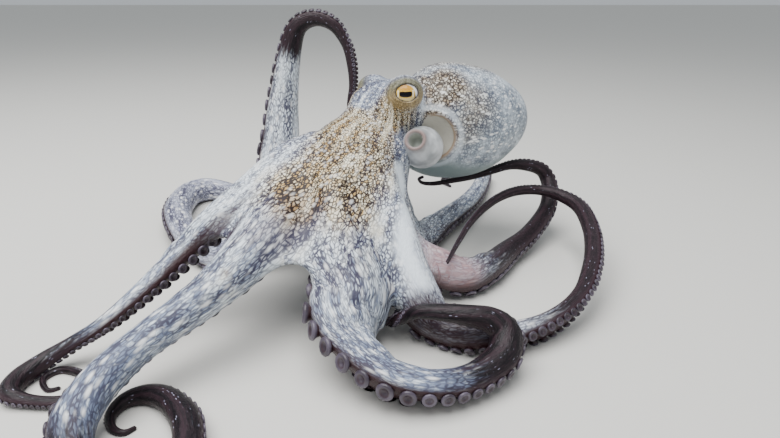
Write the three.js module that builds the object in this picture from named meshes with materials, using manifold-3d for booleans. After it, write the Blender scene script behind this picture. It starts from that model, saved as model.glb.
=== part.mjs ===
// Common octopus (Octopus vulgaris), life size, crawling on a level floor with its arms spread and
// coiled. Millimetres, +Z up, floor at z = 0. The head looks towards (-0.85, -0.53); left arms 1 to 4
// lie on its left from front to back, right arms 1 to 4 on its right. Arms, webs, crown, head, mantle
// and funnel are separate closed bodies that meet with a small clearance and never overlap.
import * as THREE from 'three';
import { LoftGeometry } from 'three/addons/geometries/LoftGeometry.js';
import { mergeVertices } from 'three/addons/utils/BufferGeometryUtils.js';
import Module from 'manifold-3d';

// ---- driving dimensions -------------------------------------------------------------------------
const CLEARANCE = 0.3;          // space left between neighbouring bodies
const FLOOR_DEPTH = 60;         // thickness of the block that cuts the soles flat at z = 0
const RING_STEP = { factor: 0.86, min: 7.6, max: 14 };  // spacing of arm sections, from arm width
const SUCKER_DIP = 0.8;         // depth factor of the sucker ridge between two suckers
const SUCKER_MIN_WIDTH = 13;    // arms narrower than this keep a plain ridge
const TIP_WIDTH = 12;           // arms narrower than this use the six-sided section
const WEB_THICKNESS = 3.2;
const WEB_COLUMNS = 7;          // web stations from one arm to the next
const WEB_ROWS = 7;             // web stations from the crown to the free edge

const EYE_RADIUS = 14;
const EYES = {
  left: { turret: [43, 16, 171.5], turretRadius: 16.5, gaze: [0.12, -0.97, 0.24] },
  right: { turret: [17, 60, 165.5], turretRadius: 15.5, gaze: [-0.82, 0.54, 0.16] },
};
const EYE_OFFSET = 4.6;         // eyeball centre ahead of its turret's centre

// Head stations from inside the mantle to its front, as for the mantle.
const HEAD = [[62, 58, 145, 20, 21], [54, 53, 148, 28, 28], [36, 42, 152, 30, 29],
  [15, 29, 152, 27, 27], [2, 21, 148, 18, 19], [-5, 17, 145, 7, 8]];
const HEAD_SIDES = 14;
const CROWN = { centre: [2, 8, 114], radii: [48, 46, 40], yaw: 32 };

// Mantle stations from neck to apex: x, y, z, half width, half height.
const MANTLE = [
  [48, 45, 146, 30, 38], [60, 53, 141, 43, 50], [78, 66, 136, 52, 57], [101, 82, 132, 56, 57.5],
  [124, 97, 130, 52, 52], [143, 109, 128, 42, 41], [158, 120, 125, 28, 28],
  [168, 127, 124, 13, 13], [172, 130, 124, 2.5, 2.5],
];
const MANTLE_SIDES = 16;
const MANTLE_OPENING = { centre: [66, 12, 128], radii: [29, 18, 30], yaw: 0 };

// Funnel stations from root to mouth: x, y, z, radius; the bore follows with its own radii.
const FUNNEL = [[64, 32, 119, 15], [61, 19, 121, 19.5], [58, 7, 125, 18.5], [55, -2, 130.5, 14.5],
  [52.5, -10, 135.5, 10.2]];
const FUNNEL_BORE = [[56, 2, 128, 4], [54.6, -3, 131.2, 7], [52.1, -11, 136, 7.6]];

// Arm centre lines: [x, y, z, width] or [x, y, z, width, depth] from the crown to the tip.
// "down" rows are a fraction of the arm's length and the way the sucker face looks there. From the
// first to the last of these fractions the face also turns away from "hub", by the share "outward".
const ARMS = {
  arm_left_1: {
    way: [
      [-34, 2, 118, 46], [-62, -20, 106, 42], [-96, -52, 86, 38], [-113, -66, 78, 30],
      [-135, -79, 60, 27], [-160, -113, 42, 20], [-183, -142, 28, 15], [-205, -152, 17, 13],
      [-222, -163, 10, 14], [-232, -180, 6.8, 15], [-229, -196, 6.2, 14], [-214, -201, 4.5, 10],
      [-193, -201, 3.8, 8.8], [-180, -189, 2.9, 6.9], [-192, -170, 2.7, 6.5],
      [-211, -163, 2.3, 5.9], [-219, -173, 1.9, 5], [-210, -185, 1.3, 3.6], [-202, -182, 1, 2.8]],
    down: [[0.5, 0.7, -0.2, -0.7], [0.7, 0, 0, -1]],
    hub: [-206, -182, 6], outward: 0.45, cuts: [0.3, 0.52, 0.74],
  },
  arm_left_2: {
    way: [
      [-28, -12, 110, 48], [-52, -44, 92, 46], [-77, -110, 72, 40], [-105, -147, 54, 30],
      [-136, -180, 40, 25], [-151, -201, 32, 26], [-159, -222, 26, 27], [-161, -244, 18, 28],
      [-146, -271, 11.2, 24], [-116, -288, 9.6, 20], [-94, -278, 9.3, 20], [-90, -253, 9.4, 20],
      [-99, -226, 9.2, 20], [-119, -203, 7.8, 17], [-136, -196, 6.2, 14], [-149, -201, 4.8, 11],
      [-153, -213, 3.3, 7.9], [-148, -224, 2.3, 5.8], [-139, -228, 1.6, 4.4],
      [-133, -222, 1.1, 3]],
    down: [[0.36, -0.55, 0.5, -0.65], [0.55, 0, 0, -1]],
    hub: [-120, -243, 8], outward: 0.5, cuts: [0.27, 0.48, 0.72],
  },
  arm_left_3: {
    way: [
      [-16, -28, 108, 46], [-16, -64, 84, 50], [1, -120, 47, 62, 41], [-2, -141, 33, 65, 39],
      [2, -161, 21, 58, 35], [19, -185, 15.4, 46, 32], [39, -197, 14.3, 35, 30],
      [64, -198, 12.5, 28, 26], [90, -187, 11.9, 25], [111, -168, 17, 26], [114, -153, 28, 24],
      [104, -149, 36, 20], [87, -149, 40, 16], [67, -145, 40, 13], [50, -139, 37, 11],
      [38, -129, 25, 9.9], [25, -113, 12, 8], [-2, -99, 7, 7], [-28, -85, 3.2, 6],
      [-36, -66, 2.4, 5], [-24, -52, 2, 4], [-10, -60, 1.4, 3]],
    down: [[0.12, 0, 0.5, -0.85], [0.34, -0.45, -0.1, -0.85]],
    hub: [60, -165, 22], outward: 0.5, cuts: [0.27, 0.47, 0.7],
  },
  arm_left_4: {
    way: [
      [6, -24, 108, 44], [26, -54, 74, 42], [52, -104, 29, 39], [72, -122, 13.6, 28],
      [105, -136, 12.1, 25], [141, -126, 10.8, 23], [169, -110, 15, 20], [192, -86, 21, 18],
      [208, -56, 28, 18], [219, -25, 35, 17], [226, 11, 42, 16], [225, 48, 50, 15],
      [210, 70, 55, 13], [191, 80, 57, 11], [166, 72, 59, 10], [144, 55, 58, 8.8],
      [125, 32, 55, 7.5], [107, 2, 51, 6.2], [95, -25, 47, 5.1], [86, -50, 46, 4.1],
      [78, -75, 46, 3]],
    down: [[0.2, -0.3, 0.65, -0.7], [0.36, 0, -0.2, -1]],
    hub: [140, -20, 40], outward: 0.75, cuts: [0.24, 0.45, 0.68],
  },
  arm_right_4: {
    way: [
      [20, -8, 100, 40], [29, -20, 70, 37], [46, -38, 42, 33], [75, -46, 26, 36],
      [96, -43, 16.3, 34], [120, -24, 14, 29], [148, 17, 12, 25], [175, 48, 17, 21],
      [200, 82, 30, 19], [208, 100, 44, 18], [209, 118, 56, 17], [200, 120, 68, 15],
      [180, 114, 75, 13], [161, 108, 76, 10], [140, 100, 72, 8.2], [116, 88, 69, 6.7],
      [94, 78, 68, 5.5], [76, 70, 68, 4.6], [64, 66, 70, 3.8], [60, 63, 75, 3.3],
      [65, 60, 79, 3.1]],
    down: [[0.14, -0.45, 0.55, -0.7], [0.4, 0, -0.4, -0.9]],
    hub: [150, 60, 45], outward: 0.65, cuts: [0.24, 0.5, 0.68],
  },
  arm_right_3: {
    way: [
      [18, 24, 100, 40], [28, 32, 62, 37], [42, 32, 34, 33], [60, 36, 19, 31], [92, 97, 14.1, 29],
      [121, 150, 12.1, 26], [142, 201, 11, 23], [161, 268, 9.2, 20], [164, 290, 6, 13],
      [144, 306, 5, 10], [116, 298, 4, 7.5], [104, 274, 3, 5.5], [114, 254, 1.6, 3.4]],
    down: [[0.14, -0.4, -0.5, -0.7], [0.3, 0.4, -0.2, -0.9]],
    hub: [134, 278, 5], outward: 0.3, cuts: [0.26, 0.5, 0.76],
  },
  arm_right_2: {
    way: [
      [-2, 34, 108, 44], [-28, 66, 86, 42], [-62, 96, 61, 42], [-90, 115, 55, 42],
      [-99, 130, 71, 43], [-95, 140, 97, 43], [-91, 150, 140, 35], [-83, 152, 184, 28], [-74, 152, 214, 23],
      [-62, 151, 226, 20], [-45, 148, 229, 18], [-28, 145, 221, 16], [-16, 142, 202, 13],
      [-11, 138, 181, 12], [-10, 134, 160, 10], [-13, 130, 141, 8.8], [-16, 122, 108, 6.5],
      [-24, 112, 84, 5], [-16, 100, 68, 3.4]],
    down: [[0.14, 0.4, -0.4, -0.8], [0.36, -0.75, 0.6, -0.2], [0.57, -0.75, 0.6, 0.3],
      [0.67, 0, 0.35, 1], [0.78, 0.9, -0.35, 0.1]],
    hub: [-52, 150, 150], outward: 0, cuts: [0.37, 0.6, 0.75],
  },
  arm_right_1: {
    way: [
      [-22, 22, 110, 44], [-58, 30, 76, 42], [-92, 24, 38, 38], [-126, 5, 16.6, 34],
      [-156, 19, 15.5, 32], [-188, 56, 14.8, 31], [-216, 116, 15.3, 32], [-224, 178, 15.1, 31],
      [-210, 205, 14.3, 30], [-183, 205, 12.1, 25], [-155, 189, 9.6, 20], [-128, 161, 6.8, 15],
      [-112, 130, 3.5, 8.3], [-118, 109, 1.7, 4]],
    down: [[0.28, 0.5, -0.1, -0.85], [0.42, 0, 0, -1]],
    hub: [-165, 130, 12], outward: 0.5, cuts: [0.25, 0.5, 0.74],
  },
};
const LENGTH_NAMES = ['base', 'middle', 'outer', 'tip'];

// Webs: the two arms each one joins, how far it reaches along them, and how deep its arch is cut.
const WEBS = {
  web_left_1_2: { arms: ['arm_left_1', 'arm_left_2'], reach: [124, 134], arch: 0.08 },
  web_left_2_3: { arms: ['arm_left_2', 'arm_left_3'], reach: [140, 150], arch: 0.22 },
  web_left_3_4: { arms: ['arm_left_3', 'arm_left_4'], reach: [140, 140], arch: 0.16 },
  web_rear: { arms: ['arm_left_4', 'arm_right_4'], reach: [135, 128], arch: 0.2 },
  web_right_3_4: { arms: ['arm_right_4', 'arm_right_3'], reach: [104, 104], arch: 0.3 },
  web_right_2_3: { arms: ['arm_right_3', 'arm_right_2'], reach: [104, 96], arch: 0.34 },
  web_right_1_2: { arms: ['arm_right_2', 'arm_right_1'], reach: [96, 96], arch: 0.3 },
  web_front: { arms: ['arm_right_1', 'arm_left_1'], reach: [100, 100], arch: 0.3 },
};

const FINISHES = {
  mantle: { color: 0xb9bfbd, roughness: 0.55 },
  head: { color: 0xb09a74, roughness: 0.6 },
  eye: { color: 0xc79a3a, roughness: 0.2 },
  funnel: { color: 0xc6c8c6, roughness: 0.5 },
  arms: { color: 0x9aa0a8, roughness: 0.55 },
  tips: { color: 0x53464e, roughness: 0.55 },
  web: { color: 0xb4ada4, roughness: 0.6 },
};

// ---- curves -------------------------------------------------------------------------------------
const vec = (a) => new THREE.Vector3(a[0], a[1], a[2]);
const smooth = (t) => { const u = Math.min(1, Math.max(0, t)); return u * u * (3 - 2 * u); };

// Uniform Catmull-Rom value of one column of a table at parameter t (0 .. rows - 1).
function column(rows, index, t) {
  const last = rows.length - 1;
  const i = Math.min(last - 1, Math.max(0, Math.floor(t)));
  const u = t - i;
  const at = (k) => {
    if (k < 0) return 2 * rows[0][index] - rows[1][index];
    if (k > last) return 2 * rows[last][index] - rows[last - 1][index];
    return rows[k][index];
  };
  const [a, b, c, d] = [at(i - 1), at(i), at(i + 1), at(i + 2)];
  return 0.5 * (2 * b + (c - a) * u + (2 * a - 5 * b + 4 * c - d) * u * u
    + (3 * b - a - 3 * c + d) * u * u * u);
}

// The arm's centre line sampled finely, with the distance walked to each sample.
function centreLine(arm) {
  const rows = arm.way.map((r) => [r[0], r[1], r[2], r[3], r[4] ?? r[3]]);
  const samples = [];
  const steps = (rows.length - 1) * 24;
  for (let i = 0; i <= steps; i++) {
    const t = (i / steps) * (rows.length - 1);
    const point = new THREE.Vector3(column(rows, 0, t), column(rows, 1, t), column(rows, 2, t));
    const walked = i === 0 ? 0 : samples[i - 1].walked + point.distanceTo(samples[i - 1].point);
    samples.push({ point, walked, width: column(rows, 3, t), depth: column(rows, 4, t) });
  }
  return samples;
}

function sampleAt(line, walked) {
  let i = 1;
  while (i < line.length - 1 && line[i].walked < walked) i++;
  const [a, b] = [line[i - 1], line[i]];
  const u = THREE.MathUtils.clamp((walked - a.walked) / (b.walked - a.walked), 0, 1);
  return {
    point: a.point.clone().lerp(b.point, u),
    width: a.width + (b.width - a.width) * u,
    depth: a.depth + (b.depth - a.depth) * u,
    tangent: line[Math.min(line.length - 1, i + 3)].point.clone()
      .sub(line[Math.max(0, i - 4)].point).normalize(),
  };
}

// Direction the sucker face looks at a fraction of the arm's length.
function suckerFacing(arm, fraction, point, tangent) {
  const rows = arm.down;
  const share = (from, to) => smooth((fraction - from) / (to - from));
  const facing = vec(rows[0].slice(1));
  for (let i = 1; i < rows.length; i++) {
    facing.lerp(vec(rows[i].slice(1)), share(rows[i - 1][0], rows[i][0]));
  }
  const turned = arm.outward * share(rows[0][0], rows[rows.length - 1][0]);
  const away = point.clone().sub(vec(arm.hub)).normalize();
  facing.multiplyScalar(1 - turned).addScaledVector(away, turned);
  return facing.addScaledVector(tangent, -facing.dot(tangent)).normalize();
}

// ---- bodies -------------------------------------------------------------------------------------
const wasm = await Module();
wasm.setup();

function solidOf(geometry) {
  const bare = new THREE.BufferGeometry();
  bare.setAttribute('position', geometry.attributes.position);
  bare.setIndex(geometry.index);
  const merged = mergeVertices(bare, 1e-4);
  return new wasm.Manifold(new wasm.Mesh({
    numProp: 3,
    vertProperties: new Float32Array(merged.attributes.position.array),
    triVerts: new Uint32Array(merged.index.array),
  }));
}

function geometryOf(solid) {
  const mesh = solid.getMesh();
  const geometry = new THREE.BufferGeometry();
  geometry.setAttribute('position', new THREE.BufferAttribute(mesh.vertProperties, 3));
  geometry.setIndex(new THREE.BufferAttribute(mesh.triVerts, 1));
  geometry.computeVertexNormals();
  return geometry;
}

// The largest of the pieces a cut leaves.
function largest(solid) {
  return solid.decompose().reduce((a, b) => (b.volume() > a.volume() ? b : a));
}

function ellipsoid({ centre, radii, yaw }, grow = 0, around = 16, rows = 10) {
  const geometry = new THREE.SphereGeometry(1, around, rows);
  geometry.rotateX(Math.PI / 2);
  geometry.scale(radii[0] + grow, radii[1] + grow, radii[2] + grow);
  geometry.rotateZ(THREE.MathUtils.degToRad(yaw));
  geometry.translate(...centre);
  return solidOf(geometry);
}

function ball(centre, radius, around = 12, rows = 8) {
  return ellipsoid({ centre, radii: [radius, radius, radius], yaw: 0 }, 0, around, rows);
}

// A round or oval tube through stations [x, y, z, half width, half height].
function tube(stations, sides, grow = 0) {
  const sections = stations.map((s, i) => {
    const before = vec(stations[Math.max(0, i - 1)]);
    const along = vec(stations[Math.min(stations.length - 1, i + 1)]).sub(before).normalize();
    const side = along.clone().cross(new THREE.Vector3(0, 0, 1)).normalize();
    const up = side.clone().cross(along);
    const [wide, high] = [s[3] + grow, (s[4] ?? s[3]) + grow];
    return Array.from({ length: sides }, (_, k) => {
      const angle = (-k / sides) * 2 * Math.PI;
      return vec(s).addScaledVector(side, Math.cos(angle) * wide)
        .addScaledVector(up, Math.sin(angle) * high);
    });
  });
  return solidOf(new LoftGeometry(sections, { capStart: true, capEnd: true }));
}

// Arm section points in (sideways, towards the suckers), as shares of half width and half depth.
function sectionShape(width, index) {
  if (width < TIP_WIDTH) {
    return [[1, 0.1], [0.5, 0.94], [-0.5, 0.94], [-1, 0.1], [-0.52, -0.9], [0.52, -0.9]];
  }
  const studded = width > SUCKER_MIN_WIDTH;
  const right = studded && index % 2 ? SUCKER_DIP : 1;
  const left = studded && index % 2 === 0 ? SUCKER_DIP : 1;
  return [[1, 0.12], [0.5, right], [0, 0.66], [-0.5, left], [-1, 0.12], [-0.74, -0.7], [0, -1],
    [0.74, -0.7]];
}

// One length of an arm between two walked distances; its end faces stand back by the given insets,
// parallel to the faces of the lengths they meet.
function armLength(arm, line, from, to, grow = 0, insets = [0, 0]) {
  const total = line[line.length - 1].walked;
  const stations = [from];
  const middle = sampleAt(line, (from + to) / 2);
  for (let at = from; at < to;) {
    const step = THREE.MathUtils.clamp(sampleAt(line, at).width * RING_STEP.factor,
      RING_STEP.min, RING_STEP.max);
    at += step;
    if (at < to - step * 0.4) stations.push(at);
  }
  stations.push(to);
  const sections = stations.map((at, index) => {
    const { point, tangent, width, depth } = sampleAt(line, at);
    const facing = suckerFacing(arm, at / total, point, tangent);
    const side = facing.clone().cross(tangent);
    if (index === 0) point.addScaledVector(tangent, insets[0]);
    if (index === stations.length - 1) point.addScaledVector(tangent, -insets[1]);
    return sectionShape(middle.width, index).map(([across, deep]) => point.clone()
      .addScaledVector(side, across * (width / 2 + grow))
      .addScaledVector(facing, deep * (depth / 2 + grow)));
  });
  return solidOf(new LoftGeometry(sections, { capStart: true, capEnd: true }));
}

// A thin curved sheet between two arms' centre lines, as one closed grid.
function webSheet({ arms, reach, arch }, lines) {
  const middle = [];
  for (let row = 0; row <= WEB_ROWS; row++) {
    middle.push([]);
    for (let col = 0; col <= WEB_COLUMNS; col++) {
      const across = col / WEB_COLUMNS;
      const out = (row / WEB_ROWS) * (1 - arch * 4 * across * (1 - across));
      const a = sampleAt(lines[arms[0]], reach[0] * out).point;
      const b = sampleAt(lines[arms[1]], reach[1] * out).point;
      middle[row].push(a.lerp(b, across));
    }
  }
  const clampRow = (r) => Math.min(WEB_ROWS, Math.max(0, r));
  const clampCol = (c) => Math.min(WEB_COLUMNS, Math.max(0, c));
  const normal = (r, c) => middle[clampRow(r + 1)][c].clone().sub(middle[clampRow(r - 1)][c])
    .cross(middle[r][clampCol(c + 1)].clone().sub(middle[r][clampCol(c - 1)])).normalize();
  // Two skins of the same grid, joined round their border.
  const [rows, cols] = [WEB_ROWS + 1, WEB_COLUMNS + 1];
  const positions = [];
  for (const half of [WEB_THICKNESS / 2, -WEB_THICKNESS / 2]) {
    middle.forEach((points, r) => points.forEach((p, c) => {
      positions.push(...p.clone().addScaledVector(normal(r, c), half).toArray());
    }));
  }
  const upper = (r, c) => r * cols + c;
  const lower = (r, c) => rows * cols + r * cols + c;
  const faces = [];
  const quad = (a, b, c, d) => faces.push(a, b, c, a, c, d);
  for (let r = 0; r < rows - 1; r++) {
    for (let c = 0; c < cols - 1; c++) {
      quad(upper(r, c), upper(r + 1, c), upper(r + 1, c + 1), upper(r, c + 1));
      quad(lower(r, c), lower(r, c + 1), lower(r + 1, c + 1), lower(r + 1, c));
    }
    quad(upper(r, 0), lower(r, 0), lower(r + 1, 0), upper(r + 1, 0));
    quad(upper(r + 1, cols - 1), lower(r + 1, cols - 1), lower(r, cols - 1), upper(r, cols - 1));
  }
  for (let c = 0; c < cols - 1; c++) {
    quad(upper(0, c + 1), lower(0, c + 1), lower(0, c), upper(0, c));
    quad(upper(rows - 1, c), lower(rows - 1, c), lower(rows - 1, c + 1), upper(rows - 1, c + 1));
  }
  const geometry = new THREE.BufferGeometry();
  geometry.setAttribute('position', new THREE.Float32BufferAttribute(positions, 3));
  geometry.setIndex(faces);
  return solidOf(geometry);
}

// ---- assembly -----------------------------------------------------------------------------------
const floor = solidOf(new THREE.BoxGeometry(1200, 1200, FLOOR_DEPTH)
  .translate(0, 0, -FLOOR_DEPTH / 2));
const group = new THREE.Group();
group.name = 'octopus';

function place(name, solid, finish) {
  const material = new THREE.MeshStandardMaterial({ ...FINISHES[finish], metalness: 0 });
  const mesh = new THREE.Mesh(geometryOf(solid), material);
  mesh.name = name;
  group.add(mesh);
}

// Eyes, and the head with its two eye turrets.
const eyeCentre = ({ turret, gaze }) => vec(gaze).normalize().multiplyScalar(EYE_OFFSET)
  .add(vec(turret)).toArray();
let head = tube(HEAD, HEAD_SIDES);
for (const [side, eye] of Object.entries(EYES)) {
  head = head.add(ball(eye.turret, eye.turretRadius));
  place(`eye_${side}`, ball(eyeCentre(eye), EYE_RADIUS, 14, 9), 'eye');
}
for (const eye of Object.values(EYES)) {
  head = head.subtract(ball(eyeCentre(eye), EYE_RADIUS + CLEARANCE, 14, 9));
}

const funnelWide = tube(FUNNEL, 14, CLEARANCE);
const crownWide = ellipsoid(CROWN, CLEARANCE);
let headWide = tube(HEAD, HEAD_SIDES, CLEARANCE);
for (const eye of Object.values(EYES)) {
  headWide = headWide.add(ball(eye.turret, eye.turretRadius + CLEARANCE))
    .add(ball(eyeCentre(eye), EYE_RADIUS + CLEARANCE, 14, 9));
}

head = largest(head.subtract(crownWide).subtract(funnelWide));
place('head', head, 'head');
place('funnel', tube(FUNNEL, 14).subtract(crownWide).subtract(tube(FUNNEL_BORE, 10)), 'funnel');

const mantle = tube(MANTLE, MANTLE_SIDES).subtract(headWide).subtract(crownWide)
  .subtract(funnelWide).subtract(ellipsoid(MANTLE_OPENING));
place('mantle', largest(mantle), 'mantle');
place('crown', ellipsoid(CROWN), 'head');

// Arms, each cut back from the crown, the head and the arms already made beside it.
const lines = Object.fromEntries(Object.entries(ARMS).map(([name, arm]) => [name, centreLine(arm)]));
const taken = {};
let previous = crownWide.add(headWide);
for (const [name, arm] of Object.entries(ARMS)) {
  const line = lines[name];
  const total = line[line.length - 1].walked;
  const bounds = [0, ...arm.cuts, 1].map((f) => f * total);
  const wide = [];
  LENGTH_NAMES.forEach((label, i) => {
    const insets = [i > 0 ? CLEARANCE / 2 : 0, i < 3 ? CLEARANCE / 2 : 0];
    const solid = armLength(arm, line, bounds[i], bounds[i + 1], 0, insets)
      .subtract(previous).subtract(floor);
    place(`${name}_${label}`, largest(solid), i > 1 ? 'tips' : 'arms');
    wide.push(armLength(arm, line, bounds[i], bounds[i + 1], CLEARANCE));
  });
  taken[name] = wide[0].add(wide[1]);
  previous = previous.add(wide[0]).add(wide[1]);
}

// Webs fill the angles between neighbouring arm roots.
for (const [name, web] of Object.entries(WEBS)) {
  place(name, largest(webSheet(web, lines).subtract(previous).subtract(floor)), 'web');
}

// The frame's origin is the centre of the footprint, on the floor.
const box = new THREE.Box3().setFromObject(group);
const centre = box.getCenter(new THREE.Vector3());
group.children.forEach((mesh) => mesh.position.set(-centre.x, -centre.y, -box.min.z));

export default group;
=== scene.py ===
"""A common octopus (Octopus vulgaris), life size, crawling on a level floor.

One closed skin stands for the crown, head, mantle, webs and arms, so no seam shows between them.
It is meshed from a distance field where the body, webs and arm roots melt together, and swept
ring by ring along the free arms. The suckers, the eyeballs and the funnel are pieces of their own.

Lengths are millimetres in the animal's own frame, +Z up and the floor at z = 0, and become metres
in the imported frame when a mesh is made. The head looks towards (-0.85, -0.53); left arms 1 to 4
lie on its left from front to back, right arms 1 to 4 on its right.
"""
import logging
import math
from collections.abc import Sequence
from dataclasses import dataclass
from enum import Enum

import bmesh
import bpy
import numpy as np
from bmesh.types import BMEdge, BMesh, BMVert
from bpy.types import Material, Mesh, Node, NodeSocket, NodeTree, Object
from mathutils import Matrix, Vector


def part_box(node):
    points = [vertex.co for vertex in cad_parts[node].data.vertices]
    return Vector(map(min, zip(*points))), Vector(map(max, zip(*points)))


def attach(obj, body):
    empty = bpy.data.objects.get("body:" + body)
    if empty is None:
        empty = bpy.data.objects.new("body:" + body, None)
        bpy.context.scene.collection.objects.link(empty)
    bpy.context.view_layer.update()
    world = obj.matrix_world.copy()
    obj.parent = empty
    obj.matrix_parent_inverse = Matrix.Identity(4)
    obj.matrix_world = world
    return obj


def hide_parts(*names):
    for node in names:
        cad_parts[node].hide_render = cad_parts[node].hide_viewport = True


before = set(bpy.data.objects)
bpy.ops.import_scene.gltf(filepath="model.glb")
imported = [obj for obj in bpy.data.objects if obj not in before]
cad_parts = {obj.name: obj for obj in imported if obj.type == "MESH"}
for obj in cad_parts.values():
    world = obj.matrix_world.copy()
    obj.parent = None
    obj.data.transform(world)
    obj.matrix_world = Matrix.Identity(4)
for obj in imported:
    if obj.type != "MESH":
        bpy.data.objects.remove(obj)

log = logging.getLogger("octopus")

Array = np.ndarray
Row = tuple[float, ...]

METRE = 0.001  # one millimetre in metres
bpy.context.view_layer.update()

CELL = 2.6  # spacing of the grid that meshes the body
NEAREST_BATCH = 2048  # points compared with all centres at a time
FAR = 1.0e3  # distance given where a solid has no say
BLEND_ROOM = 26.0  # how far round a solid its distance is worked out


# ---- driving dimensions ----


@dataclass(frozen=True)
class ArmPlan:
    """One arm: its centre line, the way its suckers look, and where its free length begins.

    way rows are x, y, z, width and, where the arm is flattened, depth. down rows are a fraction
    of the arm's length and the way the sucker face looks there. From the first to the last of
    these fractions the face also turns away from hub by the share outward. join is the distance
    walked to the free length. fringe is the stretch, and the share of the half width, where the
    right row of suckers moves out to the edge.
    """

    name: str
    hub: Row
    outward: float
    join: float
    down: tuple[Row, ...]
    way: tuple[Row, ...]
    fringe: Row = (0.0, 0.0, 0.0)


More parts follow.
